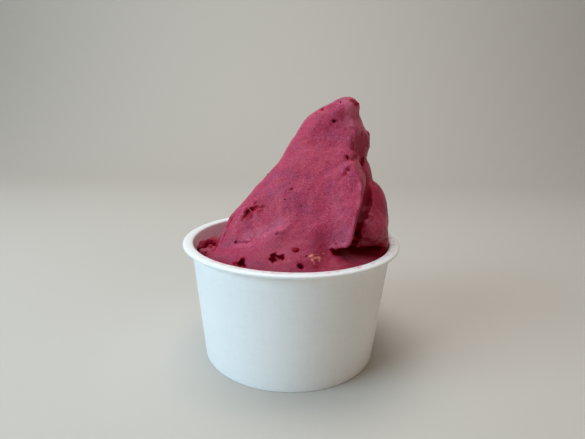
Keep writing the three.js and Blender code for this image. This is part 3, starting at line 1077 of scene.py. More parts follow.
@dataclass(frozen=True)
class GelatoFinish:
    """Frosty berry gelato: a grainy magenta with pale ice, painted deep crimson shade in its folds and
    painted highlights on its thin edges.
    """

    magenta: Colour = (0.37, 0.028, 0.08, 1)
    rosy: Colour = (0.44, 0.045, 0.10, 1)
    plum: Colour = (0.32, 0.036, 0.10, 1)
    # mauve: painted light on the cap and the neck, and painted shade above the lip
    mauve: Colour = (0.52, 0.115, 0.20, 1)
    # berry: painted shade low in front and on the mass at the lower right
    berry: Colour = (0.19, 0.008, 0.038, 1)
    # ruby: juice, and painted shade in the left fold, the facet and the valley behind the flap
    ruby: Colour = (0.33, 0.006, 0.036, 1)
    # crimson: random dips, and the painted shade in folds and crevices
    crimson: Colour = (0.28, 0.002, 0.012, 1)
    skin: Colour = (0.06, 0.0008, 0.004, 1)
    # frost: pale ice, also used for the painted highlights on thin edges, along the lip and on lit crumbs
    frost_and_highlight: Colour = (0.68, 0.15, 0.27, 1)
    pulp: Colour = (0.76, 0.27, 0.20, 1)
    # each pattern's size in mm, and its ramp: from, to, and the shares at both
    patch_size: float = 11.0
    patches: tuple[float, float] = (0.38, 0.62)
    cloud_size: float = 5.0
    clouds: tuple[float, float, float, float] = (0.44, 0.68, 0.0, 0.9)
    dip_size: float = 0.7
    dips: tuple[float, float, float, float] = (0.48, 0.28, 0.0, 0.75)
    ice_size: float = 0.5
    ice: tuple[float, float, float, float] = (0.52, 0.68, 0.0, 0.7)
    grain_size: float = 0.45
    grain_depth: float = 0.12
    # the shader's numbers: dry and wet, open and matt
    rough: tuple[float, float] = (0.5, 0.36)
    matt_at: float = 0.8
    gleam: tuple[float, float] = (0.34, 0.0)
    sheen: tuple[float, float] = (0.1, 0.0)
    sheen_tint: Colour = (1.0, 0.8, 0.9, 1)
    glow_through: Triple = (1.0, 0.2, 0.28)
    glow_depth: float = 1.3

    def material(self) -> bpy.types.Material:
        """Make the gelato's material.

        Returns:
            The material.
        """
        sheet = Sheet("gelato")
        patches = sheet.ramp(sheet.noise(self.patch_size, 2), *self.patches)
        clouds = sheet.ramp(sheet.noise(self.cloud_size, 3), *self.clouds)
        dips = sheet.ramp(sheet.noise(self.dip_size, 2, 0.65), *self.dips)
        ice = sheet.ramp(sheet.noise(self.ice_size, 3, 0.8), *self.ice)
        colour = sheet.mix(patches, self.magenta, self.rosy)
        # painted light and shade are mixed in here with the real colours: mauve light and shade, highlights
        # with the frost, shade low in front, shade with the juice and crimson shade in crevices
        for share, over in (
            (clouds, self.plum), (Trait.MAUVE_LIGHT_AND_SHADE, self.mauve), (dips, self.crimson), (ice, self.frost_and_highlight),
            (Trait.FROST_AND_HIGHLIGHT, self.frost_and_highlight), (Trait.PAINTED_LOW_SHADE, self.berry), (Trait.JUICE_AND_SHADE, self.ruby),
            (Trait.CREVICE_SHADE, self.crimson), (Trait.SKIN, self.skin), (Trait.PULP, self.pulp),
        ):
            colour = sheet.mix(sheet.read(share) if isinstance(share, Trait) else share, colour, over)
        normal = sheet.bump(sheet.noise(self.grain_size, 4, 0.7), self.grain_depth, 0.6)
        matt = sheet.reckon(Reckoning.LARGER, sheet.read(Trait.SKIN), sheet.read(Trait.CREVICE_SHADE))
        return sheet.set(
            Base_Color=colour, Normal=normal, IOR=1.36,
            Roughness=sheet.ramp(sheet.read(Trait.WET), 0, 1, *self.rough),
            Subsurface_Weight=0.3, Subsurface_Radius=self.glow_through, Subsurface_Scale=self.glow_depth * MM,
            Specular_IOR_Level=sheet.ramp(matt, 0, self.matt_at, *self.gleam),
            Sheen_Weight=sheet.ramp(matt, 0, self.matt_at, *self.sheen),
            Sheen_Roughness=0.5, Sheen_Tint=self.sheen_tint,
        )


@dataclass(frozen=True)
class FruitFinish:
    """Bits of fruit in the gelato, of one colour with a little mottling."""

    name: str
    colour: Colour
    dark: Colour
    rough: float

    def material(self) -> bpy.types.Material:
        """Make the fruit's material.

        Returns:
            The material.
        """
        sheet = Sheet(self.name)
        colour = sheet.mix(sheet.noise(0.6, 2), self.dark, self.colour)
        normal = sheet.bump(sheet.noise(0.3, 2), 0.05, 0.5)
        return sheet.set(
            Base_Color=colour, Normal=normal, Roughness=self.rough, IOR=1.4, Specular_IOR_Level=0.06,
            Subsurface_Weight=0.15, Subsurface_Radius=(1.0, 0.3, 0.3), Subsurface_Scale=0.5 * MM,
        )


@dataclass(frozen=True)
class PaperFinish:
    """White paperboard with a faint upright grain, stained where the gelato touched it."""

    name: str = "cup_paper"
    white: Colour = (0.88, 0.90, 0.915, 1)
    shade: Colour = (0.835, 0.86, 0.875, 1)
    stain: Colour = (0.73, 0.31, 0.37, 1)
    stained: bool = True
    rough: float = 0.5

    def material(self) -> bpy.types.Material:
        """Make the paper's material.

        Returns:
            The material.
        """
        sheet = Sheet(self.name)
        upright = sheet.noise(1.2, 4, 0.6, sheet.stretched((1, 1, 0.2)))
        level = sheet.noise(1.4, 3, 0.6, sheet.stretched((0.25, 0.25, 1)))
        grain = sheet.reckon(Reckoning.MULTIPLY, sheet.reckon(Reckoning.ADD, upright, level), 0.5)
        colour = sheet.mix(sheet.ramp(grain, 0.4, 0.62), self.shade, self.white)
        if self.stained:
            blot = sheet.ramp(sheet.noise(2.2, 4, 0.65), 0.4, 0.68)
            soaked = sheet.reckon(Reckoning.ADD, blot, sheet.read(Trait.SOAK))
            share = sheet.reckon(Reckoning.MULTIPLY, sheet.read(Trait.STAIN), soaked)
            colour = sheet.mix(share, colour, self.stain)
        normal = sheet.bump(grain, 0.06, 0.4)
        rough = sheet.ramp(sheet.read(Trait.ROLLED), 0, 1, self.rough, self.rough - 0.2)
        return sheet.set(
            Base_Color=colour, Normal=normal, Roughness=rough, IOR=1.45,
            Subsurface_Weight=0.08, Subsurface_Radius=(1.0, 0.9, 0.8), Subsurface_Scale=0.4 * MM,
        )


@dataclass(frozen=True)
class FloorFinish:
    """The plain pale floor."""

    pale: Colour = (0.56, 0.53, 0.49, 1)

    def material(self) -> bpy.types.Material:
        """Return the floor's material."""
        sheet = Sheet("pale_floor")
        return sheet.set(Base_Color=self.pale, Roughness=0.75)


# ---- The cup --------------------------------------------------------------------------------


class Side(Enum):
    """The two faces of the cup's wall."""

    OUTER = "outer"
    INNER = "inner"


@dataclass
class PaperCup:
    """The paper cup: a lapped side wall with a rolled rim, folded in at the foot."""

    sizes: CupSizes = field(default_factory=CupSizes)
    finish: PaperFinish = field(default_factory=PaperFinish)
    base_finish: PaperFinish = PaperFinish("base_paper", stained=False, rough=0.6)
    segments: int = 300
    # the rim's outline: its arc in half turns, how many points it has, and how square it is pressed
    rim_arc: tuple[float, float] = (-0.74, 0.95)
    rim_points: int = 30
    rim_squareness: float = 0.8
    # the seam: its place in degrees, its width, how far its edges step out and over what width
    seam_at: float = 78.0
    seam_width: float = 6.5
    seam_height: float = 25.0
    seam_points: tuple[float, ...] = (-0.25, -0.08, 0.08, 0.25)
    seam_radius: float = 41.0
    lap: float = 0.3
    lap_edge: float = 0.1
    lap_fade: float = 2.5
    lap_in_rolls: float = 0.35
    fold_height: float = 4.2
    gap: float = 0.3
    # how the wall and the rim stray from round: height, waves round the cup, and turn
    sways: tuple[Triple, ...] = ((0.05, 2, 0.4), (0.03, 5, 1.1))
    sway_full_at: float = 30.0
    rim_lift: Triple = (0.05, 3, 2.0)
    lifted_above: float = 47.0
    inset: float = 0.06
    # the smears: how far from the gelato they reach, and their grain
    smear_reach: float = 4.5
    smear_grain: Grain = Grain(7, 1.0, 5, (1, 1, 1.6))
    soak_reach: float = 1.6
    soaked_below: float = 48.5
    # the film of juice on the rim: the angles over which it begins and ends, and its grain
    film_above: float = 48.7
    film_from: tuple[float, float] = (-150, -125)
    film_to: tuple[float, float] = (38, 14)
    film_in_from_edge: tuple[float, float] = (0.9, 1.8)
    film_grain: Grain = Grain(2.6, 1.0, 9)

    def _angles(self) -> Field:
        """Space the wall's points round the cup, closer together at the seam's edges.

        Returns:
            The angles, in radians.
        """
        even = np.linspace(0, 2 * math.pi, self.segments, endpoint=False)
        half = self.seam_width / 2 / self.sizes.outer(self.seam_height)
        seam = math.radians(self.seam_at)
        close = [seam + side * half + d / self.seam_radius for side in (-1, 1) for d in self.seam_points]
        angles = np.sort(np.mod(np.concatenate([even, close]), 2 * math.pi))
        return angles[np.append(True, np.diff(angles) > 1e-4)]

    def _rim(self) -> list[tuple[float, float]]:
        """Draw the rolled rim, pressed flat, from under the roll to the inside.

        Returns:
            Its outline as radius and height.
        """
        s = self.sizes
        middle = (s.rim_radius - s.rim_width / 2, s.height - s.rim_height / 2)
        begin, end = self.rim_arc
        flat = self.rim_squareness
        outline = []
        for angle in np.linspace(begin * math.pi, end * math.pi, self.rim_points):
            c, t = math.cos(angle), math.sin(angle)
            outline.append((
                middle[0] + s.rim_width / 2 * math.copysign(abs(c) ** flat, c),
                middle[1] + s.rim_height / 2 * math.copysign(abs(t) ** flat, t),
            ))
        return outline

    def _section(self) -> list[tuple[float, float, Side]]:
        """Draw the wall's closed outline.

        Returns:
            Its places as radius, height and face.
        """
        s = self.sizes
        fold_out = s.inner(0) - s.board - 2 * self.gap
        fold_in = fold_out - s.board
        outer = [(s.outer(z), z, Side.OUTER) for z in (0.3, 1, 3, 6, 14, 24, 34, 42, 46.5, 47.9)]
        rim = [(r, z, Side.OUTER) for r, z in self._rim()]
        inner = [(s.inner(z), z, Side.INNER) for z in (47.6, 46, 43, 38, 30, 20, 10, 2, 0.75)]
        foot = [
            (fold_out, 0.75, Side.INNER), (fold_out, self.fold_height, Side.INNER),
            (fold_in, self.fold_height, Side.INNER), (fold_in, 0.25, Side.INNER),
            (fold_in + 0.25, 0.0, Side.OUTER), (s.wall_foot - 0.3, 0.0, Side.OUTER),
            (s.wall_foot - 0.1, 0.08, Side.OUTER),
        ]
        return outer + rim + inner + foot

    def _seam(self, angles: Field, face: Side) -> Field:
        """Work out how far the lapped paper stands out.

        Args:
            angles: The angles round the cup, in radians.
            face: The face of the wall.

        Returns:
            The step at each angle, in millimetres.
        """
        reach = self.sizes.outer(self.seam_height)
        away = (np.mod(angles - math.radians(self.seam_at) + math.pi, 2 * math.pi) - math.pi) * reach
        half, edge, fade = self.seam_width / 2, self.lap_edge, self.lap_fade
        if face is Side.OUTER:
            return self.lap * eased(away, -half - edge, -half + edge) * (1 - eased(away, half - fade, half))
        return -self.lap * eased(away, -half, -half + fade) * (1 - eased(away, half - edge, half + edge))

    def build(self, gelato: GelatoForm) -> bpy.types.Object:
        """Make the side wall and its rim.

        Args:
            gelato: The form that stains the paper it touches.

        Returns:
            The wall's object, dressed.
        """
        angles, section = self._angles(), self._section()
        sway = sum(high * np.sin(waves * angles + turn) for high, waves, turn in self.sways)
        high, waves, turn = self.rim_lift
        lifted = high * np.sin(waves * angles + turn) - high
        rings = []
        for radius, z, face in section:
            in_rolls = z > self.sizes.height - 2.2 or z < 0.4
            lap = self._seam(angles, face) * (self.lap_in_rolls if in_rolls else 1.0)
            lift = lifted * (z > self.lifted_above)
            r = radius + lap - self.inset + sway * min(1.0, z / self.sway_full_at)
            ring = (r * np.cos(angles), r * np.sin(angles), np.full_like(angles, z) + lift)
            rings.append(np.stack(ring, 1))
        count, around = len(rings), len(angles)
        index = np.arange(count * around).reshape(count, around)
        following = np.roll(index, -1, 0)
        quads = np.stack([index, np.roll(index, -1, 1), np.roll(following, -1, 1), following], -1)
        wall = mesh_object("paper_cup_wall", np.concatenate(rings), quads.reshape(-1, 4))
        self._stain(wall.data, np.concatenate(rings), gelato)
        wall.data.materials.append(self.finish.material())
        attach(wall, BODY)
        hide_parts("cup_wall")
        return wall

    def _stain(self, mesh: bpy.types.Mesh, points: Points, gelato: GelatoForm) -> None:
        """Store where the gelato smeared the paper: by its edge, inside and over the rim.

        Args:
            mesh: The wall's mesh.
            points: Its points, in millimetres.
            gelato: The form that stains it.
        """
        x, y, z = points.T
        r = np.hypot(x, y)
        away = gelato.distance(points)
        on_rim = (z > 48.6) & (r < self.sizes.rim_radius - 1.7)
        inside = (r < self.sizes.inner(z) + 0.35) | on_rim
        smear = np.clip(1.1 - away / self.smear_reach, 0, 1) * inside
        smear *= np.clip(0.35 + 0.9 * self.smear_grain.at(points), 0, 1)
        side = np.degrees(np.arctan2(y, x))
        film = eased(side, *self.film_from) * eased(side, *self.film_to) * (z > self.film_above)
        film *= eased(self.sizes.rim_radius - r, *self.film_in_from_edge)
        film *= np.clip(0.45 + 1.1 * self.film_grain.at(points), 0, 0.8)
        store(mesh, Trait.STAIN, np.maximum(smear, film))
        store(mesh, Trait.SOAK, np.clip(0.55 - away / self.soak_reach, 0, 1) * (z < self.soaked_below))
        store(mesh, Trait.ROLLED, z > self.sizes.height - self.sizes.rim_height - 0.6)

    def dress_base(self) -> None:
        """Give the base disc, which keeps its solid, its paper."""
        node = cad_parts["cup_base"]
        node.data.materials.clear()
        node.data.materials.append(self.base_finish.material())


# ---- Places seen in the picture -----------------------------------------------------------


@dataclass(frozen=True)
class PictureView:
    """The camera of the picture. Pixels count from its left and upper edges; the rest is in mm."""

    focal: float = 454.1
    width: float = 585.0
    height: float = 439.0
    eye: Triple = (0.32, -185.06, 104.80)
    pitch: float = 14.2975
    roll: float = 1.2536
    near: float = 130.0
    far: float = 290.0
    close_enough: float = 0.02
    stride: float = 0.6

    def axes(self) -> tuple[Vector, Vector, Vector]:
        """Work out how the camera is turned.

        Returns:
            Its right, up and ahead.
        """
        pitch, roll = math.radians(self.pitch), math.radians(self.roll)
        ahead = Vector((0, math.cos(pitch), -math.sin(pitch)))
        level = Vector((1, 0, 0))
        right = math.cos(roll) * level + math.sin(roll) * level.cross(ahead)
        return right, right.cross(ahead), ahead

    def ray(self, pixel: tuple[float, float]) -> np.ndarray:
        """Find the direction that a pixel looks in.

        Args:
            pixel: Its place across and down.

        Returns:
            The direction, of length 1.
        """
        right, up, ahead = self.axes()
        across = (pixel[0] - self.width / 2) / self.focal
        down = (pixel[1] - self.height / 2) / self.focal
        return np.array((ahead + right * across - up * down).normalized())

    def landed(self, pixel: tuple[float, float], distance: Callable[[Points], Field]) -> Optional[np.ndarray]:
        """Find the place on a form that a pixel shows.

        Args:
            pixel: Its place across and down.
            distance: The form's distance.

        Returns:
            The place in millimetres, or None if the pixel's ray misses the form.
        """
        ray, reach = self.ray(pixel), self.near
        while reach < self.far:
            place = np.asarray(self.eye) + ray * reach
            left = float(distance(place[None])[0])
            if left < self.close_enough:
                return place
            reach += max(left * self.stride, self.close_enough / 2)
        return None


class Relief(Enum):
    """How a mark changes the surface that it lies on."""

    CUT = "cut"
    RAISED = "raised"


@dataclass(frozen=True)
class Mark:
    """A groove, pit, ridge or lump along a line of pixels; its radii and depth are in mm."""

    line: tuple[tuple[float, float], ...]
    radii: tuple[float, float]
    sunk: float = 0.2
    soft: float = 0.5
    relief: Relief = Relief.CUT

    def strokes(self, view: PictureView, distance: Callable[[Points], Field]) -> list[Stroke]:
        """Set the mark on a form.

        Args:
            view: The camera whose pixels the line is in.
            distance: The form's distance.

        Returns:
            A stroke for each part of the line.
        """
        places = []
        for pixel in self.line:
            landed = view.landed(pixel, distance)
            if landed is not None:
                places.append(tuple(landed + view.ray(pixel) * self.sunk))
        if len(places) == 1:
            places = [places[0], tuple(np.add(places[0], (0.01, 0, 0)))]
        steps = np.linspace(self.radii[0], self.radii[1], len(places))
        return [
            Stroke(start, end, (float(a), float(b)))
            for start, end, a, b in zip(places, places[1:], steps, steps[1:])
        ]


# ---- The gelato -----------------------------------------------------------------------------


@dataclass(frozen=True)
class Fleck:
    """A bit of fruit: the pixel that it lies at, its length and width, and how deep it is set."""

    pixel: tuple[float, float]
    length: float
    width: float
    sunk: float = 0.1
    turn: float = 0.0


@dataclass(frozen=True)
class Spot:
    """A coloured spot: the pixel that it lies at, its length and width in mm, and how strong it is."""

    pixel: tuple[float, float]
    length: float
    width: float
    strength: float


@dataclass(frozen=True)
class TornPlace:
    """A place where the gelato tore or crumbled, and how far round it is rough, in mm."""

    at: Triple
    reach: float
    rough: float = 1.0


@dataclass
class Gelato:
    """The gelato with its grain, its torn places and the fruit in it."""

    view: PictureView = field(default_factory=PictureView)
    form: GelatoForm = field(default_factory=GelatoForm)
    finish: GelatoFinish = field(default_factory=GelatoFinish)
    cell: float = 0.46
    box: tuple[Triple, Triple] = ((-42, -42, 39), (44, 42, 110))
    bottom_z: float = 5.95
    lump_blend: float = 0.7
    mark_margin: float = 2.5
    grains: tuple[Grain, ...] = (
        Grain(9.0, 0.30, 11),
        Grain(4.0, 0.17, 12),
        Grain(1.9, 0.12, 13),
        Grain(1.05, 0.085, 14),
    )
    crags: Grain = Grain(2.4, 0.8, 21)
    torn_places: tuple[TornPlace, ...] = (
        TornPlace((-34.5, -7, 47), 5.5, 0.6),
        TornPlace((-17, -16, 64.2), 3.4, 1.1),
        TornPlace((-12.5, -16.5, 66.4), 2.6, 0.9),
        TornPlace((-12.5, -23.5, 56.2), 2.6, 0.8),
        TornPlace((24.5, -20, 52.5), 4.5, 0.8),
        TornPlace((22, -27, 55.5), 4.0, 0.6),
        TornPlace((15, -31, 54.5), 3.5, 0.5),
        TornPlace((31, -18, 53), 4.5, 0.7),
        TornPlace((25, -19, 58), 2.5, 0.8),
        TornPlace((20.5, -17.5, 82), 2.6, 0.8),
        TornPlace((22.3, -11, 88.5), 2.4, 1.0),
        TornPlace((27.5, -3, 90), 2.4, 0.7),
        TornPlace((-18, -30.5, 49.3), 2.2, 0.8),
        TornPlace((-5.6, -32, 51.4), 1.8, 0.8),
    )
    wall_lumps: tuple[Lobe, ...] = (
        Lobe((-36.4, -8.5, 46.8), (2.3, 2.4, 1.9)),
        Lobe((-34.0, -4.6, 48.0), (2.2, 2.0, 1.9), lean=20),
        Lobe((-32.4, -10.4, 47.9), (1.9, 1.8, 1.7)),
        Lobe((-37.0, -2.2, 46.6), (2.0, 2.2, 1.8)),
        Lobe((-30.8, -6.0, 48.6), (1.7, 1.9, 1.6)),
        Lobe((-35.2, -13.4, 47.0), (1.7, 1.6, 1.5)),
        Lobe((-33.2, 0.8, 47.4), (1.8, 1.7, 1.7)),
        Lobe((-30.6, -13.6, 48.2), (1.5, 1.6, 1.3)),
    )
    marks: tuple[Mark, ...] = (
        # the two tears at the left, and the torn bits beside them
        Mark(((242.6, 221), (244.4, 217.2), (246.6, 215.2), (247.4, 212.8)), (0.35, 0.6), 0.25, 0.3),
        Mark(((247.6, 213.8), (249.6, 212.6), (250.2, 210.4), (252.2, 209)), (0.75, 0.65), 0.35, 0.3),
        Mark(
            ((254.6, 208.9), (257.2, 207.4), (260, 208), (262.4, 206.6), (265.4, 206.4)),
            (0.6, 0.4), 0.15, 0.3,
        ),
        Mark(((253, 210.4), (255, 212.4)), (0.5, 0.35), 0.1, 0.4),
        Mark(((256, 202.6),), (0.45, 0.45), 0.1),
        Mark(((255, 195.4),), (0.4, 0.4), 0.1),
        Mark(((246, 209.2), (248.6, 206)), (0.7, 0.6), 0.25, 0.6, Relief.RAISED),
        Mark(((257.5, 210.8), (262, 209.8)), (0.6, 0.5), 0.3, 0.6, Relief.RAISED),
        # the crease of the fold at the left edge
        Mark(
            ((234.6, 215.4), (230.8, 221), (227.4, 227.6), (224.4, 234.4), (221.6, 241.6)),
            (0.6, 0.9), 0.15, 0.5,
        ),
        # crumbs above the lip, and dashes along it
        Mark(((247, 241), (250.4, 240.2)), (0.5, 0.6), -0.05, 0.3, Relief.RAISED),
        Mark(((253.6, 240.4), (255.4, 239.2)), (0.5, 0.5), -0.05, 0.3, Relief.RAISED),
        Mark(((258, 240), (260.6, 238.6)), (0.65, 0.7), -0.1, 0.3, Relief.RAISED),
        Mark(((263, 237.8), (265.6, 235.6)), (0.6, 0.5), -0.05, 0.3, Relief.RAISED),
        Mark(((251.6, 238), (253, 237)), (0.45, 0.4), 0.0, 0.3, Relief.RAISED),
        Mark(((238.8, 243.4), (246, 242.6)), (0.4, 0.55), 0.1),
        Mark(((273.4, 234.6), (278, 233.9)), (0.5, 0.4), 0.2),
        Mark(((280.8, 228.2), (284, 226.9)), (0.45, 0.35), 0.15),
        # the hole at the rim, with the crack that runs from it
        Mark(((242.4, 260.4), (241.6, 264)), (0.9, 1.5), 1.0),
        Mark(((234, 263.4), (238.4, 265.6), (244, 267.4)), (0.5, 1.0), 0.7),
        # the beds of the fruit pieces in front
        Mark(((271.6, 256.2), (274.2, 259.8), (277.4, 257.6), (280.6, 257)), (0.9, 0.7), -0.6),
        Mark(((293.6, 249.6), (297.6, 250.2)), (0.8, 0.75), -0.3),
        Mark(((299.4, 265.6), (301.8, 267)), (0.9, 0.9), -0.1),
        # above the flap, where it laps onto the slab
        Mark(((351.2, 164.6), (348.6, 170), (344.4, 174.8), (338.8, 180.4)), (0.8, 0.5), -0.35, 0.8),
        Mark(((349, 169.4), (346, 173)), (0.6, 0.6), 0.0),
        Mark(((347.2, 156), (347.8, 159)), (0.6, 0.55), 0.0),
        Mark(((356.2, 151.6), (354.8, 155)), (0.7, 0.7), 0.2, 0.5, Relief.RAISED),
        Mark(((357.4, 156.6), (357.8, 160)), (0.75, 0.6), 0.2, 0.5, Relief.RAISED),
        # the slab's rolled right edge, and the turned cap
        Mark(
            ((344.6, 116.4), (349.6, 121.6), (352.4, 129), (353.4, 138), (352.6, 148)),
            (0.6, 0.8), -0.45, 1.2,
        ),
        Mark(((353.4, 100.6), (356.6, 103.6), (357.6, 106.6)), (1.0, 1.1), -0.45, 1.0),
        Mark(((322, 109.4),), (0.75, 0.75), 0.2),
        Mark(((334, 121.2),), (0.6, 0.6), 0.3),
        # dark places between the flap and what is behind it
        Mark(((362.6, 159.6), (361.8, 164)), (0.9, 0.8), 0.6),
        Mark(((362, 167.6), (363, 171)), (0.8, 0.7), 0.6),
        Mark(((373.4, 183.6), (375.8, 181.6), (378, 183.6)), (0.6, 0.7), 0.2),
        Mark(((355.8, 231.8), (356.8, 236)), (0.9, 1.0), 0.6),
        # the thin end of the hollow under the flap
        Mark(((328.4, 250.8), (332.6, 249.9), (338, 249.9)), (0.25, 0.9), 0.35, 0.3),
        # the lobe's bump, ridge and lower lip
        Mark(((369.4, 216),), (1.1, 1.1), 0.5, 0.8, Relief.RAISED),
        Mark(((370, 218), (365, 222.4), (360.4, 225)), (0.9, 0.8), 0.45, 0.9, Relief.RAISED),
        Mark(((365.4, 242.6), (372, 243.6)), (1.1, 1.0), -0.65, 0.9),
        Mark(((353.2, 243.8), (358, 243.2), (363, 244.6)), (0.8, 0.7), 0.2, 0.7, Relief.RAISED),
        Mark(((376.4, 248.2), (380.6, 250.6), (385, 251.6)), (0.7, 0.8), 0.2, 0.7, Relief.RAISED),
    )
    stains: tuple[Spot, ...] = (
        Spot((273.6, 258.6), 2.8, 3.2, 1.5), Spot((278.8, 256.8), 3.2, 1.8, 1.4),
        Spot((271.6, 255.6), 1.6, 1.4, 1.4), Spot((300.6, 266), 2.3, 1.6, 1.2),
        Spot((334, 121.2), 2.0, 1.2, 0.7), Spot((347.5, 157.4), 1.3, 1.6, 0.7),
        Spot((328, 161.4), 1.9, 1.1, 0.3), Spot((276, 247), 3.4, 2.2, 0.22),
        Spot((301, 206), 1.5, 0.8, 0.35), Spot((356.6, 234), 1.7, 2.2, 0.6),
        Spot((235.6, 241.8), 1.2, 1.1, 0.5), Spot((241, 262.6), 2.4, 2.6, 1.1),
        Spot((292, 189), 1.2, 0.8, 0.3), Spot((362, 134), 1.8, 1.6, 0.4),
        Spot((331, 202.8), 1.5, 1.0, 0.22),
    )
    # frosty crumbs, and painted highlights on lit crumbs and glints
    frosty_and_lit_spots: tuple[Spot, ...] = (
        Spot((251, 241), 1.0, 0.5, 0.6), Spot((255.2, 240.6), 0.8, 0.6, 0.8),
        Spot((258.6, 240), 1.0, 0.8, 1.2), Spot((260.8, 238.4), 1.1, 0.8, 1.3),
        Spot((264.6, 236.2), 0.9, 0.7, 0.9), Spot((262.2, 241), 1.0, 0.5, 0.7),
        Spot((357.5, 203), 0.7, 0.7, 1.2), Spot((355.6, 153.4), 1.4, 1.4, 0.6),
        Spot((357.6, 158.4), 1.2, 1.4, 0.6), Spot((352.4, 240), 1.6, 1.4, 0.6),
        Spot((345, 243.6), 1.6, 1.0, 0.6), Spot((361, 186), 1.2, 4.0, 0.45),
    )
    # juice at fruit bits, the tears, the blotch and the hole, and painted shade in creases: under the tip, in
    # the notch above the flap, along the slab's edge, in the crevice at the right, under the flap and along
    # the crease of the left fold
    juicy_and_shaded_spots: tuple[Spot, ...] = (
        Spot((354, 104), 3.6, 3.4, 0.75), Spot((322, 110.4), 2.0, 1.4, 0.7),
        Spot((348.8, 170), 2.2, 1.6, 0.75), Spot((345, 174.4), 2.0, 1.4, 0.7),
        Spot((354, 152.4), 1.4, 1.4, 0.6), Spot((347, 157.4), 2.6, 2.4, 0.6),
        Spot((244, 217.6), 2.4, 3.2, 0.85), Spot((248.8, 212.6), 3.6, 3.6, 0.9),
        Spot((252.4, 209), 3.0, 2.0, 0.8), Spot((259, 207.6), 4.2, 1.6, 0.7),
        Spot((265, 206.4), 2.4, 1.0, 0.5), Spot((256, 202.6), 1.4, 1.0, 0.7),
        Spot((275.6, 258), 6.0, 4.2, 0.8), Spot((295.6, 249.8), 4.0, 2.6, 0.6),
        Spot((301, 266), 3.6, 2.4, 0.7), Spot((334, 121.4), 2.8, 1.8, 0.6),
        Spot((241, 262.6), 5.0, 3.4, 0.8), Spot((362, 162), 1.8, 2.4, 0.6),
        Spot((362.4, 169.6), 1.6, 2.0, 0.7), Spot((337, 244.4), 4.4, 1.6, 0.4),
        Spot((292, 189), 1.8, 1.4, 0.5), Spot((231, 219), 1.4, 3.4, 0.8),
        Spot((227.2, 224.6), 1.4, 3.4, 0.85), Spot((224.2, 230.4), 1.5, 3.4, 0.9),
        Spot((221.6, 236.4), 1.7, 3.4, 0.9), Spot((219.4, 242.6), 1.9, 3.4, 0.9),
        Spot((356, 129.6), 3.0, 2.2, 0.45), Spot((328, 161.4), 2.6, 1.8, 0.3),
        Spot((236, 242), 2.0, 1.4, 0.5),
    )
    spot_grain: Grain = Grain(1.4, 0.9, 41)
    spot_edge: tuple[float, float] = (0.6, 1.35)
    spot_depth: float = 2.0
    # shelter, which sets the painted crimson shade in folds and crevices: how far out of the surface each
    # look is, and its weight
    shelter_steps: tuple[tuple[float, float], ...] = ((0.6, 0.3), (1.4, 0.3), (3.0, 0.3), (7.0, 0.28))
    shelter_range: tuple[float, float] = (0.1, 1.0)
    most_sheltered: float = 1.3
    # painted highlights on thin edges and along the lip, broken up in speckles
    edge_depth: float = 2.2
    edge_thinness: tuple[float, float] = (0.3, 0.75)
    edge_highlight: float = 0.55
    edge_highlight_above: float = 52.0
    lip_highlight: float = 0.5
    lip_highlight_line: tuple[float, float] = (0.2, 0.9)
    lip_highlight_zone: Zone = Zone(x=((-24, -19), (1, -7)), back=-12)
    speckle_grain: Grain = Grain(1.6, 1.0, 51)
    highlight_speckle: tuple[float, float, float] = (0.45, 0.9, 1.2)
    most_frost_and_highlight: float = 0.85
    # juice in the crumbs and tears, and painted shade in the left fold, the facet under the cap, the valley
    # behind the flap and the mass at the lower right
    torn_colour_reach: float = 0.9
    low_right: Zone = Zone(x=((9, 21),), y=((-6, -16),), z=((53.5, 51.0),))
    facet: Zone = Zone(x=((25.5, 27.5),), z=((82, 84), (95, 92.5)), back=6)
    fold: Zone = Zone(x=((-21.5, -23.5),), y=((-13.5, -11.5),), z=((62, 58),), back=2)
    flap_edge_width: tuple[float, float] = (-0.5, 1.5)
    behind_flap: Zone = Zone(z=((64, 68), (82, 78)), back=2)
    wet_band: tuple[float, float] = (0.8, 3.5)
    wet_below: float = 53.0
    # paler, cooler mauve: painted light on the cap and the neck, and painted shade above the lip
    cap_edge_width: tuple[float, float] = (-1.0, 1.0)
    cap_zone: Zone = Zone(z=((92, 97), (107.5, 105)))
    neck_zone: Zone = Zone(x=((27, 29.5),), z=((74, 77), (86, 82)))
    above_lip_from: tuple[float, float] = (0.2, 1.2)
    above_lip_to: tuple[float, float] = (5.5, 2.5)
    above_lip_zone: Zone = Zone(x=((-22, -17), (2, -6)))
    mauve_back: float = 4.0
    # painted shade low in front along the rim, and streaked painted shade on the mass at the lower right
    rim_band: tuple[float, float] = (0, 12)
    rim_zone: Zone = Zone(y=((-10, -18),), top=56)
    low_front_zone: Zone = Zone(y=((-19, -25),), z=((63, 57),))
    streak_grain: Grain = Grain(1.5, 1.0, 63, (3.0, 1.0, 0.7))
    # the patch of pale fibres: its place and size in x and z
    pulp_patch: tuple[float, float, float, float] = (8.4, 51.7, 2.9, 1.5)
    pulp_back: float = -20.0
    fibre_grain: Grain = Grain(1.1, 1.0, 31, (1.3, 1.0, 0.6))

    def __post_init__(self) -> None:
        """Set the marks on the plain form."""
        self._strokes = [
            (stroke, mark) for mark in self.marks for stroke in mark.strokes(self.view, self.form.distance)
        ]

    def _relief(self, p: Points) -> Field:
        """Work out how far the surface stands out of the plain form.

        Args:
            p: Places in millimetres.

        Returns:
            The heights, in millimetres.
        """
        height = sum(grain.at(p) for grain in self.grains)
        rough = np.zeros(len(p))
        for place in self.torn_places:
            apart = ((p - place.at) ** 2).sum(1) / place.reach**2
            rough = np.maximum(rough, place.rough * np.exp(-apart))
        return height + rough * self.crags.at(p)

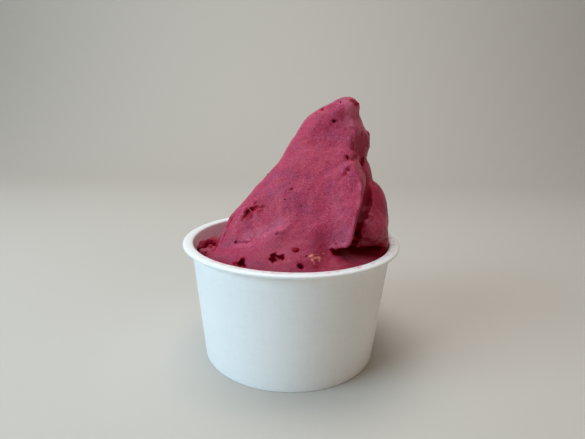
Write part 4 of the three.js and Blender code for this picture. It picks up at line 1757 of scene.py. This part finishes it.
    def _marked(self, p: Points) -> Field:
        """Set the lumps and marks on the form, before its grain.

        Args:
            p: Places in millimetres.

        Returns:
            The form's distance at each place.
        """
        form = self.form.distance(p)
        for lump in self.wall_lumps:
            form = joined(form, lump.distance(p), self.lump_blend)
        for stroke, mark in self._strokes:
            middle = (np.asarray(stroke.start) + stroke.end) / 2
            length = np.linalg.norm(np.subtract(stroke.end, stroke.start))
            reach = length / 2 + max(stroke.radii) + self.mark_margin
            near = (np.abs(p - middle) < reach).all(1)
            if mark.relief is Relief.CUT:
                form[near] = cut_to(form[near], -stroke.distance(p[near]), mark.soft)
            else:
                form[near] = joined(form[near], stroke.distance(p[near]), mark.soft)
        return form

    def _fine(self, p: Points) -> Field:
        """Return the distance outside the finished form."""
        form = self._marked(p) - self._relief(p)
        return np.maximum(form, self.form.in_cup(p, form))

    def _closed(self, points: Points, quads: np.ndarray) -> tuple[Points, list[Sequence[int]]]:
        """Close the mesh below with the plain filling that the cup hides.

        Args:
            points: The surface's points, open at its lower edge.
            quads: Its faces.

        Returns:
            The points and faces of the closed mesh.
        """
        edges = np.concatenate([quads[:, [n, (n + 1) % 4]] for n in range(4)])
        backwards = {(int(b), int(a)) for a, b in edges}
        ahead = {int(a): int(b) for a, b in edges if (int(a), int(b)) not in backwards}
        loop = [next(iter(ahead))]
        while ahead[loop[-1]] != loop[0]:
            loop.append(ahead[loop[-1]])
        angle = np.arctan2(points[loop, 1], points[loop, 0])
        faces: list[Sequence[int]] = quads.tolist()
        parts, above, total = [points], loop, len(points)
        for z, inset in ((self.box[0][2] - 2.5, 0.0), (self.bottom_z + 1, 0.1), (self.bottom_z, 1.2)):
            reach = self.form.cup.inner(z) - self.form.gap - inset
            parts.append(np.stack([reach * np.cos(angle), reach * np.sin(angle), np.full(len(loop), z)], 1))
            ring = list(range(total, total + len(loop)))
            faces += [
                (above[n], above[(n + 1) % len(loop)], ring[(n + 1) % len(loop)], ring[n])[::-1]
                for n in range(len(loop))
            ]
            above, total = ring, total + len(loop)
        parts.append(np.array([[0.0, 0.0, self.bottom_z]]))
        faces += [(above[n], total, above[(n + 1) % len(loop)]) for n in range(len(loop))]
        return np.concatenate(parts), faces

    def build(self) -> bpy.types.Object:
        """Make the gelato's mesh with what its finish reads.

        Returns:
            The gelato's object, dressed.
        """
        surface = Surface(self.form.distance, self._fine, *self.box, self.cell)
        points, quads = largest_part(*surface.quads())
        points, faces = self._closed(points, quads)
        piece = mesh_object("gelato_peak", points, faces)
        self._store_looks(piece.data)
        piece.data.materials.append(self.finish.material())
        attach(piece, BODY)
        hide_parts("gelato")
        return piece

    def _painted(self, points: Points, spots: tuple[Spot, ...]) -> Field:
        """Work out how strongly a set of spots colours each point.

        Args:
            points: The mesh's points, in millimetres.
            spots: The spots.

        Returns:
            The strongest spot's share at each point.
        """
        share = np.zeros(len(points))
        uneven = self.spot_grain.at(points)
        for spot in spots:
            landed = self.view.landed(spot.pixel, self._marked)
            if landed is not None:
                halves = (spot.length / 2, self.spot_depth, spot.width / 2)
                apart = np.linalg.norm((points - landed) / halves, axis=1)
                share = np.maximum(share, spot.strength * (1 - eased(apart + uneven, *self.spot_edge)))
        return share

    def _sheltered(self, points: Points, normals: np.ndarray) -> Field:
        """Work out how much gelato stands close over each point.

        Args:
            points: The mesh's points, in millimetres.
            normals: The directions that they face.

        Returns:
            About 0 in the open, and 1 and more deep in a fold.
        """
        shelter = np.zeros(len(points))
        for reach, share in self.shelter_steps:
            open_space = self._marked(points + normals * reach) / reach
            shelter += share * np.clip(1 - open_space, 0, self.most_sheltered)
        return shelter

    def _frost_and_highlights(self, points: Points, normals: np.ndarray) -> Field:
        """Work out the painted highlights on thin edges and along the lip, and the spots of frost and painted
        glints on crumbs.

        Args:
            points: The mesh's points, in millimetres.
            normals: The directions that they face.

        Returns:
            The share of frost and painted highlight at each point.
        """
        within = -self._marked(points - normals * self.edge_depth) / self.edge_depth
        edges = self.edge_highlight * eased(1 - within, *self.edge_thinness) * (points[:, 2] > self.edge_highlight_above)
        below, wide = self.lip_highlight_line
        above_line = self.form.face.lip.at(points[:, 0]) - below - points[:, 2]
        along_lip = np.exp(-(above_line**2) / wide**2) * self.lip_highlight_zone.share(points)
        base, swing, most = self.highlight_speckle
        speckle = np.clip(base + swing * self.speckle_grain.at(points), 0, most)
        frost_and_highlight = np.maximum((edges + self.lip_highlight * along_lip) * speckle, self._painted(points, self.frosty_and_lit_spots))
        return np.clip(frost_and_highlight, 0, self.most_frost_and_highlight)

    def _torn(self, points: Points) -> tuple[Field, Field]:
        """Work out how near each point is to a torn place.

        Args:
            points: The mesh's points, in millimetres.

        Returns:
            The share for all torn places, and the share for the crumbs at the wall alone.
        """
        torn = np.zeros(len(points))
        for place in self.torn_places:
            apart2 = ((points - place.at) ** 2).sum(1)
            torn = np.maximum(torn, np.exp(-apart2 / (place.reach * self.torn_colour_reach) ** 2))
        crumbs = self.torn_places[0]
        return torn, np.exp(-((points - crumbs.at) ** 2).sum(1) / crumbs.reach**2)

    def _juice_and_shade(self, points: Points, torn: Field, crumbly: Field, low_right: Field) -> Field:
        """Work out where juice has gathered, and the painted shade in the left fold, the facet, the valley
        behind the flap and the mass at the lower right.

        Args:
            points: The mesh's points, in millimetres.
            torn: How near each is to a torn place.
            crumbly: How near each is to the crumbs at the wall.
            low_right: Its share of the mass at the lower right.

        Returns:
            The share of juice and painted shade at each point.
        """
        beyond_flap = eased(points[:, 0] - self.form.flap_edge.line.at(points[:, 2]), *self.flap_edge_width)
        behind_flap = beyond_flap * self.behind_flap.share(points)
        juice_and_shade = 0.9 * crumbly + 0.5 * low_right + 0.25 * torn + 0.5 * self.facet.share(points)
        juice_and_shade = juice_and_shade + 0.7 * self.fold.share(points) + 0.45 * behind_flap
        return np.maximum(juice_and_shade, self._painted(points, self.juicy_and_shaded_spots))

    def _mauve_light_and_shade(self, points: Points) -> Field:
        """Work out the painted mauve: paler, cooler painted light on the cap and the neck, and painted shade
        above the lip.

        Args:
            points: The mesh's points, in millimetres.

        Returns:
            The share of mauve at each point.
        """
        x, y, z = points.T
        cap = eased(x - self.form.upper_edge.line.at(z), *self.cap_edge_width) * self.cap_zone.share(points)
        lip = self.form.face.lip.at(x)
        above_lip = eased(z - lip, *self.above_lip_from) * eased(z - lip, *self.above_lip_to)
        above_lip = above_lip * self.above_lip_zone.share(points)
        neck = 0.25 * self.neck_zone.share(points)
        return np.clip(cap + neck + 0.6 * above_lip, 0, 1) * (y < self.mauve_back)

    def _painted_low_shade(self, points: Points, from_wall: Field, low_right: Field) -> Field:
        """Work out the painted shade: low in front along the rim, and in streaks on the mass at the lower
        right.

        Args:
            points: The mesh's points, in millimetres.
            from_wall: How far each is from the cup's wall.
            low_right: Its share of the mass at the lower right.

        Returns:
            The share of painted shade at each point.
        """
        at_rim = (1 - eased(from_wall, *self.rim_band)) * self.rim_zone.share(points)
        low_front = np.maximum(at_rim, 0.35 * self.low_front_zone.share(points))
        streaks = np.clip(0.8 + 0.9 * self.streak_grain.at(points), 0, 1.1)
        return 0.9 * np.maximum(low_front, low_right * streaks)

    def _pulp(self, points: Points) -> Field:
        """Work out where the patch of pale fruit fibres shows.

        Args:
            points: The mesh's points, in millimetres.

        Returns:
            The share of pulp at each point.
        """
        x, y, z = points.T
        at_x, at_z, wide, high = self.pulp_patch
        patch = np.exp(-(((x - at_x) / wide) ** 2) - ((z - at_z) / high) ** 2) * (y < self.pulp_back)
        fibres = self.fibre_grain.at(points)
        return np.clip((0.9 * patch + 1.1 * fibres - 0.62) * 2.4, 0, 1) * (patch > 0.12)

    def _store_looks(self, mesh: bpy.types.Mesh) -> None:
        """Store each point's frost and painted highlights, painted mauve light and shade, painted shade in
        folds and low in front, juice with painted shade, skin, wetness and fleshy pulp.

        Args:
            mesh: The gelato's mesh.
        """
        points, normals = np.empty(len(mesh.vertices) * 3), np.empty(len(mesh.vertices) * 3)
        mesh.vertices.foreach_get("co", points)
        mesh.vertex_normals.foreach_get("vector", normals)
        points, normals = points.reshape(-1, 3) / MM, normals.reshape(-1, 3)
        x, y, z = points.T
        shelter = self._sheltered(points, normals)
        torn, crumbly = self._torn(points)
        low_right = self.low_right.share(points)
        juice_and_shade = self._juice_and_shade(points, torn, crumbly, low_right)
        from_wall = self.form.cup.inner(z) - np.hypot(x, y)
        near_wall = (1 - eased(from_wall, *self.wet_band)) * (z < self.wet_below)
        skin = np.maximum(self._painted(points, self.stains), 0.8 * crumbly)
        store(mesh, Trait.FROST_AND_HIGHLIGHT, self._frost_and_highlights(points, normals))
        # painted crimson shade in folds and crevices, from how sheltered each point is
        store(mesh, Trait.CREVICE_SHADE, eased(shelter, *self.shelter_range))
        store(mesh, Trait.MAUVE_LIGHT_AND_SHADE, self._mauve_light_and_shade(points))
        store(mesh, Trait.PAINTED_LOW_SHADE, self._painted_low_shade(points, from_wall, low_right))
        store(mesh, Trait.SKIN, np.clip(skin, 0, 1))
        store(mesh, Trait.JUICE_AND_SHADE, np.clip(juice_and_shade, 0, 1))
        store(mesh, Trait.WET, np.clip(near_wall + 0.7 * juice_and_shade + 0.4 * shelter, 0, 1))
        store(mesh, Trait.PULP, self._pulp(points))


@dataclass
class FruitBits:
    """Bits of berry skin and flesh set in the gelato's surface, as one mesh for each kind."""

    name: str
    finish: FruitFinish
    flecks: tuple[Fleck, ...]
    stray: int = 0
    stray_sizes: tuple[float, float] = (0.3, 0.8)
    thickness: float = 0.4
    seed: int = 7
    stray_x: tuple[float, float] = (-36, 42)
    stray_z: tuple[float, float] = (44, 106)
    lowest: float = 43.0
    outside: float = 120.0
    lump_height: float = 0.42
    around: int = 10
    rings: int = 6

    def _blob(self, centre: np.ndarray, normal: Vector, fleck: Fleck,
              rng: np.random.Generator) -> tuple[Points, np.ndarray]:
        """Make one flat, uneven bit that lies along the surface.

        Args:
            centre: Where it lies, in millimetres.
            normal: The surface's direction there.
            fleck: Its sizes.
            rng: Source of its uneven shape.

        Returns:
            Its points in millimetres and its triangles.
        """
        around, rings = self.around, self.rings
        points = [(0.0, 0.0, 1.0)]
        for ring in range(1, rings):
            lift, reach = math.cos(math.pi * ring / rings), math.sin(math.pi * ring / rings)
            turns = np.arange(around) * 2 * math.pi / around
            points += [(reach * math.cos(a), reach * math.sin(a), lift) for a in turns]
        points.append((0.0, 0.0, -1.0))
        ball = np.array(points)
        bumps = Grain(1.1, self.lump_height, int(rng.integers(1, 9999))).at(ball + rng.uniform(-9, 9, 3))
        size = min(fleck.length, fleck.width) * self.thickness
        shape = ball * (1 + bumps[:, None]) * (fleck.length / 2, fleck.width / 2, size)
        upright = normal.to_track_quat("Z", "Y").to_matrix()
        turn = np.array(upright @ Matrix.Rotation(math.radians(fleck.turn), 3, "Z"))
        placed = shape @ turn.T + centre - np.array(normal) * fleck.sunk
        tris = [(0, 1 + n, 1 + (n + 1) % around) for n in range(around)]
        for ring in range(rings - 2):
            low, high = 1 + ring * around, 1 + (ring + 1) * around
            for n in range(around):
                m = (n + 1) % around
                tris += [(low + n, high + n, high + m), (low + n, high + m, low + m)]
        final, last = 1 + (rings - 2) * around, len(points) - 1
        tris += [(final + n, last, final + (n + 1) % around) for n in range(around)]
        return placed, np.array(tris)

    def build(self, surface: bpy.types.Object, view: PictureView) -> bpy.types.Object:
        """Set the bits where the picture shows them, and the stray ones all round.

        Args:
            surface: The gelato that they lie in.
            view: The camera of the picture.

        Returns:
            The object of all bits.
        """
        rng = np.random.default_rng(self.seed)
        tree = BVHTree.FromPolygons(
            [v.co for v in surface.data.vertices], [tuple(f.vertices) for f in surface.data.polygons])
        spots = []
        for fleck in self.flecks:
            hit = tree.ray_cast(Vector(view.eye) * MM, Vector(view.ray(fleck.pixel)))
            if hit[0] is not None:
                spots.append((np.array(hit[0]) / MM, hit[1], fleck))
        while len(spots) < len(self.flecks) + self.stray:
            start = Vector((rng.uniform(*self.stray_x), 0, rng.uniform(*self.stray_z))) * MM
            turn = Matrix.Rotation(rng.uniform(-math.pi, math.pi), 3, "Z")
            hit = tree.ray_cast(start + turn @ Vector((0, self.outside * MM, 0)), turn @ Vector((0, -1, 0)))
            if hit[0] is not None and hit[0].z > self.lowest * MM:
                length = rng.uniform(*self.stray_sizes)
                fleck = Fleck((0, 0), length, length * rng.uniform(0.5, 0.9), 0.05, rng.uniform(0, 360))
                spots.append((np.array(hit[0]) / MM, hit[1], fleck))
        points, faces, total = [], [], 0
        for centre, normal, fleck in spots:
            blob, tris = self._blob(centre, normal, fleck, rng)
            points.append(blob)
            faces.append(tris + total)
            total += len(blob)
        piece = mesh_object(self.name, np.concatenate(points), np.concatenate(faces))
        piece.data.materials.append(self.finish.material())
        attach(piece, BODY)
        return piece


def skins() -> FruitBits:
    """Gather the dark bits of berry skin.

    Returns:
        The bits, with their finish.
    """
    return FruitBits(
        "berry_skin_bits",
        FruitFinish("berry_skin", (0.06, 0.0015, 0.008, 1), (0.02, 0.001, 0.003, 1), 0.5),
        (
            Fleck((334, 121.2), 1.9, 1.2, 0.0), Fleck((331, 124.5), 0.8, 0.5), Fleck((337, 126), 0.6, 0.4),
            Fleck((347.4, 157.4), 1.5, 1.0, 0.1, 70), Fleck((328, 161.5), 1.1, 0.6, 0.25),
            Fleck((300.6, 265.8), 1.7, 1.1, 0.3, 30), Fleck((356.4, 234), 1.5, 1.3, 0.2, 80),
            Fleck((251, 237.2), 0.8, 0.5), Fleck((235.6, 241.8), 0.9, 0.7), Fleck((249, 241.6), 0.6, 0.4),
            Fleck((276, 234.6), 0.7, 0.4), Fleck((301, 206), 1.0, 0.5, 0.15),
            Fleck((268, 174.2), 0.9, 0.5, 0.0, 60), Fleck((331, 202.8), 1.0, 0.6, 0.25),
            Fleck((314.4, 129), 0.7, 0.5), Fleck((306, 176), 0.5, 0.4),
            Fleck((361.4, 147), 0.8, 0.5, 0.1, 60), Fleck((362, 134), 1.1, 0.7, 0.2, 60),
            Fleck((305, 187), 0.5, 0.4), Fleck((333.5, 252), 0.6, 0.4),
        ),
        stray=60,
    )


def flesh() -> FruitBits:
    """Gather the red bits of berry flesh.

    Returns:
        The bits, with their finish.
    """
    return FruitBits(
        "berry_flesh_bits",
        FruitFinish("berry_flesh", (0.30, 0.008, 0.025, 1), (0.17, 0.004, 0.012, 1), 0.3),
        (
            Fleck((295.6, 249.8), 2.9, 1.9, 0.0, 5), Fleck((291, 189), 1.3, 0.8, 0.15, 20),
            Fleck((322, 109.4), 1.6, 1.1, 0.25), Fleck((349, 170), 1.3, 0.9, 0.15, 60),
            Fleck((345.6, 173.4), 1.1, 0.8, 0.15, 40), Fleck((320, 246.6), 0.8, 0.6),
            Fleck((336, 243.4), 1.6, 0.8, 0.2), Fleck((342.6, 241.6), 1.2, 0.7, 0.2),
            Fleck((211, 247.5), 1.7, 1.2, 0.2, 30), Fleck((206, 252), 1.5, 1.2, 0.2, 80),
            Fleck((355.6, 104), 1.5, 0.9, 0.2, 60),
        ),
        stray=26,
        stray_sizes=(0.5, 1.2),
        seed=9,
    )


# ---- The studio -----------------------------------------------------------------------------


@dataclass(frozen=True)
class SoftBox:
    """A soft square light, aimed at the middle of the cup unless told otherwise."""

    name: str
    at: Triple
    width: float
    power: float
    colour: Triple
    aim: Triple = (0.0, 0.0, 0.05)

    def build(self) -> bpy.types.Object:
        """Make the light.

        Returns:
            The light's object.
        """
        lamp = bpy.data.lights.new(self.name, "AREA")
        lamp.shape = "SQUARE"
        lamp.size = self.width
        lamp.energy = self.power
        lamp.color = self.colour
        made = bpy.data.objects.new(self.name, lamp)
        made.location = self.at
        made.rotation_mode = "QUATERNION"
        made.rotation_quaternion = (Vector(self.aim) - Vector(self.at)).to_track_quat("-Z", "Y")
        bpy.context.scene.collection.objects.link(made)
        return made


@dataclass
class Studio:
    """The pale floor that curves up behind, soft lights, and the camera at the picture's place."""

    view: PictureView = field(default_factory=PictureView)
    sensor: float = 36.0
    floor_reach: float = 2600.0
    bend_from: float = 420.0
    bend_radius: float = 330.0
    bend_steps: int = 12
    backdrop_height: float = 2400.0
    lights: tuple[SoftBox, ...] = (
        SoftBox("window", (-0.62, -0.34, 0.34), 0.45, 4.8, (0.61, 0.85, 1.0)),
        SoftBox("ceiling", (-0.16, -0.02, 0.80), 0.55, 3.0, (1.0, 0.98, 0.95)),
        SoftBox("room", (0.45, -0.55, 0.18), 0.45, 0.62, (1.0, 0.70, 0.42)),
        SoftBox("backdrop", (0.0, 0.25, 0.9), 0.8, 3.0, (1.0, 0.97, 0.93), (0.0, 0.75, 0.25)),
    )
    clip: tuple[float, float] = (0.01, 20.0)
    ambient: Colour = (1.0, 0.88, 0.74, 1)
    ambient_strength: float = 0.10

    def build(self) -> None:
        """Make the floor, the lights and the surrounding glow."""
        self._floor()
        for light in self.lights:
            light.build()
        world = bpy.data.worlds.new("studio")
        world.use_nodes = True
        glow = world.node_tree.nodes["Background"]
        glow.inputs["Color"].default_value = self.ambient
        glow.inputs["Strength"].default_value = self.ambient_strength
        bpy.context.scene.world = world
        bpy.context.scene.view_settings.view_transform = "Standard"

    def _floor(self) -> None:
        """Make the floor with its curve up to the backdrop."""
        reach, start, bend = self.floor_reach, self.bend_from, self.bend_radius
        outline = [(-reach, 0.0), (start, 0.0)]
        for step in range(1, self.bend_steps + 1):
            turn = math.pi / 2 * step / self.bend_steps
            outline.append((start + bend * math.sin(turn), bend - bend * math.cos(turn)))
        outline.append((start + bend, self.backdrop_height))
        points = [(x, y, z) for y, z in outline for x in (-reach, reach)]
        faces = [(2 * n, 2 * n + 1, 2 * n + 3, 2 * n + 2) for n in range(len(outline) - 1)]
        floor = mesh_object("floor", np.array(points), faces)
        floor.data.materials.append(FloorFinish().material())

    def camera(self) -> bpy.types.Object:
        """Set the camera where the picture was taken from.

        Returns:
            The camera's object.
        """
        data = bpy.data.cameras.new("picture_camera")
        data.sensor_width = self.sensor
        data.lens = self.view.focal / self.view.width * self.sensor
        data.clip_start, data.clip_end = self.clip
        right, up, ahead = self.view.axes()
        turned = Matrix((right, up, -ahead)).transposed().to_4x4()
        made = bpy.data.objects.new("picture_camera", data)
        made.matrix_world = Matrix.Translation(Vector(self.view.eye) * MM) @ turned
        bpy.context.scene.collection.objects.link(made)
        bpy.context.scene.camera = made
        return made


def report(piece: bpy.types.Object) -> None:
    """Log a piece's name and the size of its mesh."""
    log.info("%s: %d points, %d faces", piece.name, len(piece.data.vertices), len(piece.data.polygons))


def main() -> None:
    """Build the studio, the cup, the gelato and its fruit, in that order."""
    studio = Studio()
    studio.camera()
    studio.build()
    gelato = Gelato()
    cup = PaperCup()
    report(cup.build(gelato.form))
    cup.dress_base()
    peak = gelato.build()
    report(peak)
    for bits in (skins(), flesh()):
        report(bits.build(peak, gelato.view))


if __name__ == "__main__":
    main()
